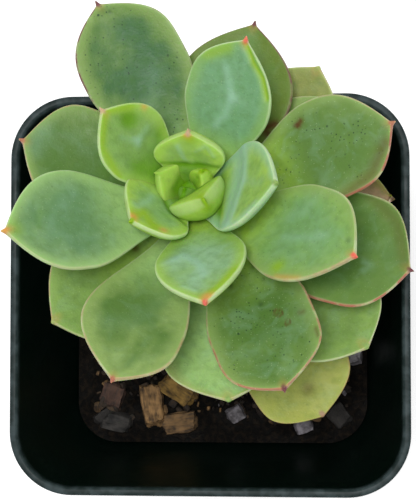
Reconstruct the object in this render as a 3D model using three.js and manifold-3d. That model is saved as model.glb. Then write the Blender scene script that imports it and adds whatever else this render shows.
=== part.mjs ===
// A rosette succulent in a small square nursery pot.
// Millimetres, +Z up. The origin is the middle of the pot's underside, and +Y is the way that the stem leans.
import * as THREE from "three";
import { mergeVertices } from "three/addons/utils/BufferGeometryUtils.js";
import Module from "manifold-3d";

const wasm = await Module();
wasm.setup();

// The pot.
const POT_HEIGHT = 52;
const RIM_WIDTH = 57;
const FOOT_WIDTH = 37;
const WALL = 0.8;
const FLOOR = 1.4;
const LIP_REACH = 0.4;
const LIP_DEPTH = 2.2;
const EDGE_ROUND = 0.4;
const RIM_CORNER = 9;
const FOOT_CORNER = 6;
const CORNER_STEPS = 5;
const DRAIN_RADIUS = 3;
const DRAIN_OFFSET = 9.5;
const DRAIN_SIDES = 20;

// The soil and the chips in it.
const SOIL_TOP = 28;
const SOIL_RINGS = 6;
const SOIL_ROUGHNESS = 0.6;
const SCATTERED_CHIPS = 26;
const CHIP_SEED = 11;
const CHIP_WEAR = 0.42;
const CHIP_TILT = 24;
const CHIP_FROM_WALL = 4;
const CHIP_FROM_STEM = 6;

// The stem.
const STEM_RADIUS_LOW = 2.7;
const STEM_RADIUS_TOP = 1.9;
const STEM_END = 0.95;
const STEM_SIDES = 12;
const STEM_STEPS = 12;

// The leaves, counted from the youngest. Those before FIRST_LEAF make up the bud.
const YOUNGEST = -3;
const FIRST_LEAF = 1;
const OLDEST = 27;
const FALLEN = [23, 25];
const WITHERED = 24;
const YELLOW = 26;
const LEAF_LENGTH = 31;
const LEAF_WIDTH = 14.8;
const LEAF_THICKNESS = 3.2;

// A leaf's place: each turns on by the golden angle, further down the leafy share of the stem's line.
const GOLDEN_ANGLE = 137.5;
const FIRST_TURN = 88;
const LEAFY_SHARE = 0.38;
const LEAF_SPREAD = 1.25;

// How a leaf grows and opens with age: half its length at HALF_GROWN, and its pitch falls from upright.
const HALF_GROWN = 3;
const LENGTH_PACE = 2.6;
const WIDTH_PACE = 5.5;
const THICKNESS_PACE = 5;
const OPENING_PACE = 9;
const UPRIGHT = 72;
const STEEPEST = 78;
const LEAF_CURL = 6;

// A leaf's shape: shares of its length and width, and its section.
const THICKEST = 0.45;
const THINNEST = 0.6;
const STATIONS = [0, 0.13, 0.27, 0.41, 0.54, 0.66, 0.77, 0.86, 0.93, 0.98];
const SECTION_POINTS = 12;
const TIP_POWER = 2.3;
const ABOVE_SHARE = 0.32;
const SECTION_POWER = 0.8;
const DISH = 0.2;
const SPIKE_RADIUS = 0.3;
const CLEARANCE = 0.3;

// What a leaf has where nothing departs from the rule.
const RULE = {
  turn: 0,
  lift: 0,
  long: 1,
  wide: 1,
  thick: 1,
  full: 1,
  left: 1,
  right: 1,
  widest: 0.64,
  foot: 0.3,
  keel: 1,
  side: 0,
  sink: 0,
  spike: 0.6,
  wave: 0,
};

// The stem's line, from inside the soil to the growing tip, which leans to +Y.
const STEM = new THREE.QuadraticBezierCurve3(
  new THREE.Vector3(1.3, 0.6, 16),
  new THREE.Vector3(0.7, 5.6, 42.5),
  new THREE.Vector3(-0.9, 13.6, 67),
);

// How single leaves of this plant depart from the rule: turn and lift in degrees, shares of the rule's
// length, width and thickness, fullness of the tip as a whole and on its left and right, where along the leaf
// it is widest, the foot's share of the width, a keel under the leaf, and in millimetres the tip's sideways
// shift, the foot's sink below its place on the stem, the spike at the tip and a ripple.
const DEPARTURES = {
  "-3": { lift: 4, thick: 1.3, widest: 0.4, keel: 1.3, sink: -0.4 },
  "-2": { turn: 2, lift: -6, wide: 0.9, thick: 1.4, full: 0.8, widest: 0.4, foot: 0.5, keel: 1.2, sink: 0.5 },
  "-1": {
    turn: -26,
    lift: -14,
    long: 1.17,
    wide: 1.18,
    thick: 1.3,
    full: 0.8,
    widest: 0.4,
    foot: 0.6,
    keel: 1.1,
    side: 1.2,
    sink: 1.5,
  },
  "0": {
    turn: -8,
    lift: -12,
    long: 1.12,
    wide: 1.08,
    thick: 1.6,
    full: 0.62,
    widest: 0.4,
    foot: 0.6,
    keel: 1.1,
    sink: -0.6,
  },
  "1": { turn: -3, long: 0.98, wide: 1.1, thick: 1.2, foot: 0.5 },
  "2": { turn: -1, lift: -12, long: 0.96, wide: 1.16, side: 0.6, left: 1.4, right: 0.8, widest: 0.58 },
  "3": { turn: -18, lift: -4, long: 1.15, wide: 1.2, side: -0.6, widest: 0.56, foot: 0.5 },
  "4": { turn: 6, lift: 2, long: 0.95, wide: 0.93, side: -0.6, left: 1.3 },
  "5": { turn: 4, lift: -4, long: 1.11, widest: 0.6 },
  "6": { turn: 9.5, long: 0.95, side: 0.5, left: 1.5, widest: 0.62 },
  "7": { turn: 10, long: 1.07, wide: 1.15, left: 1.4 },
  "8": { turn: 1.5, long: 1.04, wide: 1.06, side: -1.3, left: 1.7 },
  "9": { turn: 5, long: 1.05, wide: 1.09, side: 1.8, full: 1.3, right: 1.7 },
  "10": { turn: 5, long: 1.03, wide: 1.03, side: 2, left: 1.7, widest: 0.7 },
  "11": { turn: -5, long: 0.965, wide: 1.08, side: -0.7, left: 1.2, right: 2.2 },
  "12": { turn: 0, long: 0.84, wide: 1.11, right: 1.7 },
  "13": { turn: 1.2, long: 0.995, wide: 1.01, side: -2.4, full: 1.5, left: 2.2, right: 1.25 },
  "14": { turn: -2, lift: 5, long: 0.863, wide: 1.14 },
  "15": { turn: 9.5, long: 0.81, wide: 1.12, left: 1.9, spike: 0.2 },
  "16": { turn: -7, long: 0.97, wide: 1.11, side: -1.8, full: 1.3, left: 1.8, right: 1.3 },
  "17": { turn: -8, lift: 7, long: 0.76 },
  "18": { turn: 14.5, long: 0.85, wide: 1.12, full: 1.4, left: 2, right: 1.1, spike: 0.2 },
  "19": { turn: -4, lift: 10, long: 0.8, wide: 0.82, spike: 0.2 },
  "20": { lift: 5, long: 0.8 },
  "21": { turn: 2, long: 0.92, full: 2, left: 1.5, right: 0.75, spike: 0.1 },
  "22": { turn: 10, lift: 19, long: 0.66, thick: 0.8 },
  "24": { turn: -3, lift: 5, long: 0.83, wide: 0.75, thick: 0.4, full: 2, wave: 0.8, spike: 0.2 },
  "26": { turn: 18, lift: -14, long: 0.94, full: 2.6, left: 0.95, side: -0.8, thick: 0.85, spike: 0.1 },
  "27": { turn: -11, lift: 27, long: 0.93, wide: 1.05, right: 1.8, thick: 0.85, spike: 0.2 },
};

const rad = THREE.MathUtils.degToRad;

// A closed mesh through rings of points with both ends capped. Each ring is anticlockwise seen from the next.
function loft(rings) {
  const count = rings[0].length;
  const middle = (ring) =>
    ring.reduce((sum, p) => sum.add(p), new THREE.Vector3()).divideScalar(count);
  const points = [...rings.flat(), middle(rings[0]), middle(rings.at(-1))];
  const faces = [];
  for (let i = 0; i < rings.length - 1; i++) {
    for (let j = 0; j < count; j++) {
      const a = i * count + j;
      const b = i * count + ((j + 1) % count);
      faces.push(a, b, b + count, a, b + count, a + count);
    }
  }
  const first = points.length - 2;
  const top = (rings.length - 1) * count;
  for (let j = 0; j < count; j++) {
    const next = (j + 1) % count;
    faces.push(first, next, j, first + 1, top + j, top + next);
  }
  return new THREE.BufferGeometry().setFromPoints(points).setIndex(faces);
}

// A three.js geometry as a solid that can be cut and joined.
function solid(geometry) {
  const bare = geometry.clone();
  bare.deleteAttribute("normal");
  bare.deleteAttribute("uv");
  const merged = mergeVertices(bare, 1e-4);
  return new wasm.Manifold(
    new wasm.Mesh({
      numProp: 3,
      vertProperties: merged.attributes.position.array,
      triVerts: new Uint32Array(merged.index.array),
    }),
  );
}

// A solid as a named mesh. Scraps that a cut leaves loose are dropped.
function node(name, made, material) {
  const whole = made
    .decompose()
    .reduce((best, piece) => (piece.volume() > best.volume() ? piece : best));
  const mesh = whole.getMesh();
  const geometry = new THREE.BufferGeometry();
  geometry.setAttribute("position", new THREE.BufferAttribute(mesh.vertProperties, 3));
  geometry.setIndex(new THREE.BufferAttribute(mesh.triVerts, 1));
  geometry.computeVertexNormals();
  const built = new THREE.Mesh(geometry, material);
  built.name = name;
  return built;
}

// A square outline with round corners, anticlockwise from above.
function squareRing(half, corner, z) {
  const points = [];
  const centre = half - corner;
  for (let quarter = 0; quarter < 4; quarter++) {
    const middle = rad(45 + 90 * quarter);
    const cx = Math.sign(Math.cos(middle)) * centre;
    const cy = Math.sign(Math.sin(middle)) * centre;
    for (let i = 0; i <= CORNER_STEPS; i++) {
      const a = rad(90 * (quarter + i / CORNER_STEPS));
      points.push(new THREE.Vector3(cx + corner * Math.cos(a), cy + corner * Math.sin(a), z));
    }
  }
  return points;
}

// The pot's outer half width and corner radius at a height, without the lip.
function potSide(z) {
  const share = z / POT_HEIGHT;
  return {
    half: THREE.MathUtils.lerp(FOOT_WIDTH / 2, RIM_WIDTH / 2 - LIP_REACH, share),
    corner: THREE.MathUtils.lerp(FOOT_CORNER, RIM_CORNER - LIP_REACH, share),
  };
}

function wallRing(z, inward) {
  const { half, corner } = potSide(z);
  return squareRing(half - inward, corner - inward, z);
}

// Up the outside, over the lip and down the inside to the floor, with four round drain holes.
function pot() {
  const lipFoot = POT_HEIGHT - LIP_DEPTH;
  const rings = [
    wallRing(0, EDGE_ROUND),
    wallRing(EDGE_ROUND, 0),
    wallRing(lipFoot, 0),
    wallRing(lipFoot + EDGE_ROUND, -LIP_REACH),
    wallRing(POT_HEIGHT - EDGE_ROUND, -LIP_REACH),
    wallRing(POT_HEIGHT, -LIP_REACH + EDGE_ROUND),
    wallRing(POT_HEIGHT, WALL - EDGE_ROUND / 2),
    wallRing(POT_HEIGHT - EDGE_ROUND, WALL),
    wallRing(FLOOR + EDGE_ROUND, WALL),
    wallRing(FLOOR, WALL + EDGE_ROUND),
  ];
  let shell = solid(loft(rings));
  const drill = new THREE.CylinderGeometry(DRAIN_RADIUS, DRAIN_RADIUS, 3 * FLOOR, DRAIN_SIDES);
  drill.rotateX(Math.PI / 2);
  for (const x of [-DRAIN_OFFSET, DRAIN_OFFSET]) {
    for (const y of [-DRAIN_OFFSET, DRAIN_OFFSET]) {
      shell = shell.subtract(solid(drill.clone().translate(x, y, FLOOR / 2)));
    }
  }
  return shell;
}

// Soil surface height: low waves that die out at the wall, where edge is 0 at the wall and 1 inside.
function soilHeight(x, y, edge) {
  const waves =
    Math.sin(0.55 * x + 1.3) * Math.cos(0.62 * y) +
    0.7 * Math.sin(1.25 * x - 0.85 * y + 0.7) +
    0.5 * Math.cos(1.9 * y + 0.6 * x);
  return SOIL_TOP + SOIL_ROUGHNESS * waves * edge;
}

// A seeded draw of numbers from 0 to 1.
function draws(seed) {
  let state = seed;
  return () => {
    state = (state * 16807) % 2147483647;
    return state / 2147483647;
  };
}

// The chips that show in front of the plant, each at its own place: x, y, length, width and height, and turn.
const PLACED_CHIPS = [
  { x: -17.0, y: -15.3, size: [5.0, 4.2, 3.4], turn: 70 },
  { x: -10.9, y: -16.7, size: [8.4, 4.2, 3.4], turn: 98 },
  { x: -6.5, y: -19.4, size: [6.8, 4.0, 3.0], turn: 8 },
  { x: -6.7, y: -14.4, size: [7.4, 4.6, 3.0], turn: -35 },
  { x: -16.4, y: -19.3, size: [6.2, 3.8, 3.6], turn: -18 },
  { x: 20.4, y: -8.6, size: [3.6, 4.6, 5.0], turn: 4 },
  { x: 12.7, y: -19.9, size: [4.0, 3.0, 2.6], turn: 15 },
  { x: 18.2, y: -18.2, size: [4.4, 3.6, 3.2], turn: -50 },
  { x: 2.3, y: -18.0, size: [3.6, 3.0, 2.6], turn: 30 },
];

// A bark chip or a perlite grain: a block with no two corners alike, half sunk in the soil.
function chip({ x, y, size, turn }, draw) {
  const block = new THREE.BoxGeometry(...size);
  const corners = block.attributes.position;
  const shares = Array.from({ length: 8 }, () => 1 - CHIP_WEAR * draw());
  for (let i = 0; i < corners.count; i++) {
    const at = new THREE.Vector3().fromBufferAttribute(corners, i);
    const which = (at.x > 0 ? 1 : 0) + (at.y > 0 ? 2 : 0) + (at.z > 0 ? 4 : 0);
    const share = shares[which] * (at.z > 0 ? 0.85 : 1);
    corners.setXYZ(i, at.x * share, at.y * shares[7 - which], at.z * (0.6 + 0.4 * shares[which]));
  }
  const [tipX, tipY] = [draw(), draw()].map((share) => rad(CHIP_TILT * (share - 0.5)));
  const tilt = new THREE.Euler(tipX, tipY, rad(turn));
  block.applyMatrix4(new THREE.Matrix4().makeRotationFromEuler(tilt));
  return solid(block.translate(x, y, SOIL_TOP + 0.1 * size[2]));
}

function soil(stemHole) {
  const gapRing = (z) => wallRing(z, WALL + CLEARANCE);
  const rings = [wallRing(FLOOR + CLEARANCE, WALL + EDGE_ROUND + CLEARANCE), gapRing(FLOOR + 1.2)];
  for (let i = 0; i < SOIL_RINGS; i++) {
    const share = 1 - i / SOIL_RINGS;
    const edge = Math.min(1, 2.5 * (1 - share));
    rings.push(
      gapRing(SOIL_TOP).map((p) => {
        const x = p.x * share;
        const y = p.y * share;
        return new THREE.Vector3(x, y, soilHeight(x, y, edge));
      }),
    );
  }
  let made = solid(loft(rings));
  const draw = draws(CHIP_SEED);
  const chips = PLACED_CHIPS.map((placed) => chip(placed, draw));
  const reach = potSide(SOIL_TOP).half - WALL - CHIP_FROM_WALL;
  const stemFoot = stemPoint(SOIL_TOP);
  while (chips.length < PLACED_CHIPS.length + SCATTERED_CHIPS) {
    const x = reach * (2 * draw() - 1);
    const y = reach * (2 * draw() - 1);
    const size = [2.4 + 2.8 * draw(), 1.8 + 1.2 * draw(), 2.2 + 0.8 * draw()];
    const turn = 360 * draw();
    if (Math.hypot(x - stemFoot.x, y - stemFoot.y) > CHIP_FROM_STEM) {
      chips.push(chip({ x, y, size, turn }, draw));
    }
  }
  for (const one of chips) made = made.add(one);
  return made.subtract(stemHole);
}

// The stem's line at a height.
function stemPoint(z) {
  let low = 0;
  let high = 1;
  for (let i = 0; i < 30; i++) {
    const middle = (low + high) / 2;
    if (STEM.getPoint(middle).z < z) low = middle;
    else high = middle;
  }
  return STEM.getPoint(low);
}

// The directions at a share of the stem's line: along is up the stem, and out is level with a turn from +X.
function directions(share, turn) {
  const along = STEM.getTangent(share);
  const level = new THREE.Vector3(Math.cos(rad(turn)), Math.sin(rad(turn)), 0);
  const out = level.addScaledVector(along, -level.dot(along)).normalize();
  return { along, out, left: along.clone().cross(out) };
}

// A round rod along the stem's line, thinner towards the growing tip, grown by a clearance all round.
function stem(grow) {
  const rings = [];
  for (let i = 0; i <= STEM_STEPS; i++) {
    const share = (STEM_END * i) / STEM_STEPS;
    const { out, left } = directions(share, 0);
    const centre = STEM.getPoint(share);
    if (i === 0) centre.z -= grow;
    if (i === STEM_STEPS) centre.z += grow;
    const radius = THREE.MathUtils.lerp(STEM_RADIUS_LOW, STEM_RADIUS_TOP, share) + grow;
    rings.push(
      Array.from({ length: STEM_SIDES }, (_, j) => {
        const a = (2 * Math.PI * j) / STEM_SIDES;
        return centre
          .clone()
          .addScaledVector(out, radius * Math.cos(a))
          .addScaledVector(left, radius * Math.sin(a));
      }),
    );
  }
  return solid(loft(rings));
}

// The domed end of the stem that the youngest leaves grow from, grown by a clearance all round.
function budCore(grow) {
  const radius = STEM_RADIUS_TOP + grow;
  const dome = new THREE.SphereGeometry(radius, STEM_SIDES, STEM_SIDES / 2);
  const end = STEM.getPoint(1).addScaledVector(STEM.getTangent(1), -0.6 * STEM_RADIUS_TOP);
  return solid(dome.rotateX(Math.PI / 2).translate(end.x, end.y, end.z));
}

// The leaf of one age by the plant's own rule, with this plant's departures from it.
function leafOf(age) {
  const d = { ...RULE, ...DEPARTURES[age] };
  const pitch = Math.min(STEEPEST, UPRIGHT * Math.exp(-age / OPENING_PACE)) + d.lift;
  const steps = (age - YOUNGEST) / (OLDEST - YOUNGEST);
  return {
    share: 1 - LEAFY_SHARE * Math.pow(steps, LEAF_SPREAD),
    turn: FIRST_TURN + GOLDEN_ANGLE * (age - FIRST_LEAF) + d.turn,
    length: (LEAF_LENGTH * d.long) / (1 + Math.exp(-(age - HALF_GROWN) / LENGTH_PACE)),
    width: LEAF_WIDTH * d.wide * (1 - 0.5 * Math.exp(-age / WIDTH_PACE)),
    thickness: LEAF_THICKNESS * d.thick * (1 - 0.45 * Math.exp(-(age - YOUNGEST) / THICKNESS_PACE)),
    pitchFoot: rad(pitch - LEAF_CURL),
    pitchTip: rad(pitch + LEAF_CURL),
    tipPower: { left: TIP_POWER * d.full * d.left, right: TIP_POWER * d.full * d.right },
    widest: d.widest,
    foot: d.foot,
    keel: SECTION_POWER * d.keel,
    side: d.side,
    sink: d.sink,
    spike: d.spike,
    wave: d.wave,
  };
}

// The outline: a narrow foot that swells to the widest place, then closes on the tip along a power curve.
function halfWidth(leaf, u, tipPower) {
  if (u < leaf.widest) {
    const s = Math.pow(u / leaf.widest, 1.3);
    return (leaf.width / 2) * (leaf.foot + (1 - leaf.foot) * s * s * (3 - 2 * s));
  }
  const s = (u - leaf.widest) / (1 - leaf.widest);
  return (leaf.width / 2) * (1 - Math.pow(s, tipPower));
}

// Thickest before the middle, thinner at the foot and thinnest at the tip.
function thicknessAt(leaf, u) {
  const lost =
    u < THICKEST
      ? 0.45 * Math.pow(1 - u / THICKEST, 2)
      : 0.72 * Math.pow((u - THICKEST) / (1 - THICKEST), 2.2);
  return Math.max(THINNEST, leaf.thickness * (1 - lost));
}

// The half widths and the thickness at each station, ending in the small spike at the leaf's tip.
function sectionsOf(leaf) {
  const blade = STATIONS.map((u) => ({
    u,
    left: halfWidth(leaf, u, leaf.tipPower.left),
    right: halfWidth(leaf, u, leaf.tipPower.right),
    thick: thicknessAt(leaf, u),
  }));
  const [wide, narrow] = [SPIKE_RADIUS, SPIKE_RADIUS / 3];
  return [
    ...blade,
    { u: 1, left: wide, right: wide, thick: 2 * wide },
    { u: 1 + leaf.spike / leaf.length, left: narrow, right: narrow, thick: SPIKE_RADIUS / 2 },
  ];
}

// A point on the leaf's midrib, an arc that bends evenly from its foot's pitch to its tip's.
function midrib(leaf, u) {
  const bend = leaf.pitchTip - leaf.pitchFoot;
  const pitch = leaf.pitchFoot + bend * u;
  return {
    pitch,
    out: (leaf.length / bend) * (Math.sin(pitch) - Math.sin(leaf.pitchFoot)),
    up: (leaf.length / bend) * (Math.cos(leaf.pitchFoot) - Math.cos(pitch)),
  };
}

// A fleshy blade: lens-shaped sections, dished above and keeled below, swept along the midrib.
function leafSolid(leaf, grow = 0) {
  const { along, out, left } = directions(leaf.share, leaf.turn);
  const foot = STEM.getPoint(leaf.share)
    .addScaledVector(out, STEM_RADIUS_TOP / 2)
    .addScaledVector(along, -leaf.sink);
  const rings = sectionsOf(leaf).map(({ u, left: leftHalf, right: rightHalf, thick }) => {
    const rib = midrib(leaf, u);
    const centre = foot
      .clone()
      .addScaledVector(out, rib.out)
      .addScaledVector(along, rib.up)
      .addScaledVector(left, leaf.side * Math.pow(u, 3));
    const upper = along
      .clone()
      .multiplyScalar(Math.cos(rib.pitch))
      .addScaledVector(out, -Math.sin(rib.pitch));
    return Array.from({ length: SECTION_POINTS }, (_, j) => {
      const a = (2 * Math.PI * j) / SECTION_POINTS;
      const s = Math.cos(a);
      const half = s > 0 ? leftHalf : rightHalf;
      const upperFace = Math.sin(a) > 0;
      const face = Math.pow(Math.abs(Math.sin(a)), upperFace ? SECTION_POWER : leaf.keel);
      const body = upperFace ? ABOVE_SHARE * thick + grow : -(1 - ABOVE_SHARE) * thick - grow;
      const ripple = leaf.wave * u * Math.sin(11 * u + 3 * s);
      const rise = DISH * half * s * s + ripple + face * body;
      return centre.clone().addScaledVector(left, (half + grow) * s).addScaledVector(upper, rise);
    });
  });
  return solid(loft(rings));
}

const material = {
  pot: new THREE.MeshStandardMaterial({ color: 0x10261d, roughness: 0.45, metalness: 0 }),
  soil: new THREE.MeshStandardMaterial({ color: 0x3a2f26, roughness: 0.95, metalness: 0 }),
  stem: new THREE.MeshStandardMaterial({ color: 0x8a8a55, roughness: 0.7, metalness: 0 }),
  bud: new THREE.MeshStandardMaterial({ color: 0x8fb93f, roughness: 0.5, metalness: 0 }),
  young: new THREE.MeshStandardMaterial({ color: 0x86b45a, roughness: 0.5, metalness: 0 }),
  grown: new THREE.MeshStandardMaterial({ color: 0x6f9d5c, roughness: 0.5, metalness: 0 }),
  yellow: new THREE.MeshStandardMaterial({ color: 0xa9ab57, roughness: 0.55, metalness: 0 }),
  withered: new THREE.MeshStandardMaterial({ color: 0xa27a66, roughness: 0.85, metalness: 0 }),
};

function leafNode(age, made) {
  const number = String(age).padStart(2, "0");
  if (age === WITHERED) return node(`leaf_${number}_withered`, made, material.withered);
  if (age === YELLOW) return node(`leaf_${number}_yellow`, made, material.yellow);
  return node(`leaf_${number}`, made, age < 5 ? material.young : material.grown);
}

const stemHole = stem(CLEARANCE);
const plant = new THREE.Group();
plant.add(node("pot", pot(), material.pot));
plant.add(node("soil", soil(stemHole), material.soil));
plant.add(node("stem", stem(0), material.stem));

// The bud's leaves are joined at their feet. A later leaf is cut clear of the stem and of younger leaves.
const younger = [stemHole, budCore(CLEARANCE)];
let tip = budCore(0);
for (let age = YOUNGEST; age < FIRST_LEAF; age++) {
  tip = tip.add(leafSolid(leafOf(age)));
  younger.push(leafSolid(leafOf(age), CLEARANCE));
}
plant.add(node("growing_tip", tip.subtract(stemHole), material.bud));
for (let age = FIRST_LEAF; age <= OLDEST; age++) {
  if (FALLEN.includes(age)) continue;
  let made = leafSolid(leafOf(age));
  for (const other of younger) made = made.subtract(other);
  plant.add(leafNode(age, made));
  younger.push(leafSolid(leafOf(age), CLEARANCE));
}

export default plant;
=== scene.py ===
import math

import bmesh
import bpy
import numpy as np
from mathutils import Matrix, Vector


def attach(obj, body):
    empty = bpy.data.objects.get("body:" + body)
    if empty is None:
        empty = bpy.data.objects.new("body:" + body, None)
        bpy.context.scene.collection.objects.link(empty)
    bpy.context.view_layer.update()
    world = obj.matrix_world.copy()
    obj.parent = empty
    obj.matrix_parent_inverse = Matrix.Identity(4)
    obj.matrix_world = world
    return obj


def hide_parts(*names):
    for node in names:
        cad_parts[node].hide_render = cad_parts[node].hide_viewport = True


# The looks of a rosette succulent in a small square nursery pot.
# Shapes are worked out in millimetres, as in the part's source, and go into the meshes in metres.
MM = 0.001

# The camera, above the rosette and a little to its right.
CAMERA_AT = (20.25, -4.4, 277.0)
CAMERA_TOWARDS = (0.0, 6.3, 52.0)
LENS = 115
SENSOR = 36

# The floor and the lights, in metres and watts.
FLOOR_REACH = 1.5
FLOOR_GREY = 0.92
FLOOR_GLOW = 0.35
SKY_STRENGTH = 0.52
KEY_AT = (-0.02, 0.05, 0.85)
KEY_SIZE = 0.22
KEY_POWER = 4.4

# The pot.
POT_HEIGHT = 52
RIM_WIDTH = 57
FOOT_WIDTH = 37
WALL = 0.8
FLOOR = 1.4
LIP_REACH = 0.4
LIP_DEPTH = 2.2
EDGE_ROUND = 0.4
RIM_CORNER = 9
FOOT_CORNER = 6
CORNER_STEPS = 20
ROUND_STEPS = 6
OUTSIDE_STEPS = 13
INSIDE_STEPS = 15
DRAIN_RADIUS = 3
DRAIN_OFFSET = 9.5
DRAIN_SIDES = 48
POT_SHARP = 35

# The soil and the chips in it.
SOIL_TOP = 28
SOIL_ROUGHNESS = 0.6
SOIL_RINGS = 90
WAVE_RISE = 2.5
SCATTERED_CHIPS = 26
CHIP_SEED = 11
CHIP_WEAR = 0.42
CHIP_TILT = 24
CHIP_LIFT = 0.1
CHIP_TOP = 0.85
CHIP_LOWEST = 0.6
CHIP_SHARP = 50
CHIP_FROM_WALL = 4
CHIP_FROM_STEM = 6
CLEARANCE = 0.3

# The stem.
STEM_START = np.array([1.3, 0.6, 16.0])
STEM_BEND = np.array([0.7, 5.6, 42.5])
STEM_TIP = np.array([-0.9, 13.6, 67.0])
STEM_RADIUS_LOW = 2.7
STEM_RADIUS_TOP = 1.9
STEM_END = 0.95

# The leaves, counted from the youngest. Those before FIRST_LEAF make up the bud.
YOUNGEST = -3
FIRST_LEAF = 1
OLDEST = 27
FIRST_GROWN = 5
FALLEN = (23, 25)
ODD_LEAVES = {24: "withered", 26: "yellow"}
LEAF_LENGTH = 31
LEAF_WIDTH = 14.8
LEAF_THICKNESS = 3.2
GOLDEN_ANGLE = 137.5
FIRST_TURN = 88
LEAFY_SHARE = 0.38
LEAF_SPREAD = 1.25
HALF_GROWN = 3
LENGTH_PACE = 2.6
WIDTH_PACE = 5.5
THICKNESS_PACE = 5
YOUNG_NARROWING = 0.5
YOUNG_THINNING = 0.45
OPENING_PACE = 9
UPRIGHT = 72
STEEPEST = 78
LEAF_CURL = 6
THICKEST = 0.45
THINNEST = 0.6
TIP_POWER = 2.3
ABOVE_SHARE = 0.32
SECTION_POWER = 0.8
DISH = 0.2
SPIKE_RADIUS = 0.3
SWELL_POWER = 1.3
FOOT_THINNING = 0.45
TIP_THINNING = 0.72
TIP_THINNING_POWER = 2.2
FLARE = 1.6
SPIKE_TAPER = 0.75
TIP_NARROWING = 2.0
RIPPLE_ALONG = 11
RIPPLE_ACROSS = 3
LEAF_SHARP = 80

# What a leaf has where nothing departs from the rule, and how single leaves depart from it, as in the part's
# source: turn and lift are degrees, side, sink, spike and wave are millimetres, and the others are shares.
RULE = dict(turn=0, lift=0, long=1, wide=1, thick=1, full=1, left=1, right=1, widest=0.64, foot=0.3,
            keel=1, side=0, sink=0, spike=0.6, wave=0)
DEPARTURES = {
    -3: dict(lift=4, thick=1.3, widest=0.4, keel=1.3, sink=-0.4),
    -2: dict(turn=2, lift=-6, wide=0.9, thick=1.4, full=0.8, widest=0.4, foot=0.5, keel=1.2, sink=0.5),
    -1: dict(turn=-26, lift=-14, long=1.17, wide=1.18, thick=1.3, full=0.8, widest=0.4, foot=0.6,
             keel=1.1, side=1.2, sink=1.5),
    0: dict(turn=-8, lift=-12, long=1.12, wide=1.08, thick=1.6, full=0.62, widest=0.4, foot=0.6,
            keel=1.1, sink=-0.6),
    1: dict(turn=-3, long=0.98, wide=1.1, thick=1.2, foot=0.5),
    2: dict(turn=-1, lift=-12, long=0.96, wide=1.16, side=0.6, left=1.4, right=0.8, widest=0.58),
    3: dict(turn=-18, lift=-4, long=1.15, wide=1.2, side=-0.6, widest=0.56, foot=0.5),
    4: dict(turn=6, lift=2, long=0.95, wide=0.93, side=-0.6, left=1.3),
    5: dict(turn=4, lift=-4, long=1.11, widest=0.6),
    6: dict(turn=9.5, long=0.95, side=0.5, left=1.5, widest=0.62),
    7: dict(turn=10, long=1.07, wide=1.15, left=1.4),
    8: dict(turn=1.5, long=1.04, wide=1.06, side=-1.3, left=1.7),
    9: dict(turn=5, long=1.05, wide=1.09, side=1.8, full=1.3, right=1.7),
    10: dict(turn=5, long=1.03, wide=1.03, side=2, left=1.7, widest=0.7),
    11: dict(turn=-5, long=0.965, wide=1.08, side=-0.7, left=1.2, right=2.2),
    12: dict(turn=0, long=0.84, wide=1.11, right=1.7),
    13: dict(turn=1.2, long=0.995, wide=1.01, side=-2.4, full=1.5, left=2.2, right=1.25),
    14: dict(turn=-2, lift=5, long=0.863, wide=1.14),
    15: dict(turn=9.5, long=0.81, wide=1.12, left=1.9, spike=0.2),
    16: dict(turn=-7, long=0.97, wide=1.11, side=-1.8, full=1.3, left=1.8, right=1.3),
    17: dict(turn=-8, lift=7, long=0.76),
    18: dict(turn=14.5, long=0.85, wide=1.12, full=1.4, left=2, right=1.1, spike=0.2),
    19: dict(turn=-4, lift=10, long=0.8, wide=0.82, spike=0.2),
    20: dict(lift=5, long=0.8),
    21: dict(turn=2, long=0.92, full=2, left=1.5, right=0.75, spike=0.1),
    22: dict(turn=10, lift=19, long=0.66, thick=0.8),
    24: dict(turn=-3, lift=5, long=0.83, wide=0.75, thick=0.4, full=2, wave=0.8, spike=0.2),
    26: dict(turn=18, lift=-14, long=0.94, full=2.6, left=0.95, side=-0.8, thick=0.85, spike=0.1),
    27: dict(turn=-11, lift=27, long=0.93, wide=1.05, right=1.8, thick=0.85, spike=0.2),
}

# Leaf colours, as they look under soft white light. moss is also the painted shade between the bud's
# leaves and in pressed hollows.
PAINT = {
    "lime": (160, 196, 84),
    "moss": (96, 146, 14),
    "zest": (142, 178, 30),
    "zing": (164, 202, 70),
    "spring": (136, 174, 92),
    "pear": (162, 198, 122),
    "meadow": (138, 170, 88),
    "leaf": (108, 140, 70),
    "fern": (84, 120, 52),
    "olive": (104, 126, 48),
    "sea": (112, 158, 112),
    "sage": (124, 160, 104),
    "deep": (76, 122, 80),
    "pine": (62, 106, 60),
    "mist": (150, 190, 164),
    "celery": (142, 168, 96),
    "cream": (196, 214, 170),
    "sand": (160, 166, 100),
    "coral": (224, 104, 90),
    "amber": (206, 148, 76),
    "rose": (172, 108, 88),
    "plum": (112, 62, 68),
    "gold": (166, 172, 84),
    "blush": (196, 164, 134),
    "tan": (160, 130, 100),
    "umber": (92, 64, 26),
}


def linear(paint):
    """A colour, by its name or its screen values, as linear red, green, blue and alpha: the screen's curve is
    undone."""
    values = np.array(PAINT[paint] if isinstance(paint, str) else paint) / 255
    undone = np.where(values <= 0.04045, values / 12.92, ((values + 0.055) / 1.055) ** 2.4)
    return (*undone.tolist(), 1.0)
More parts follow.
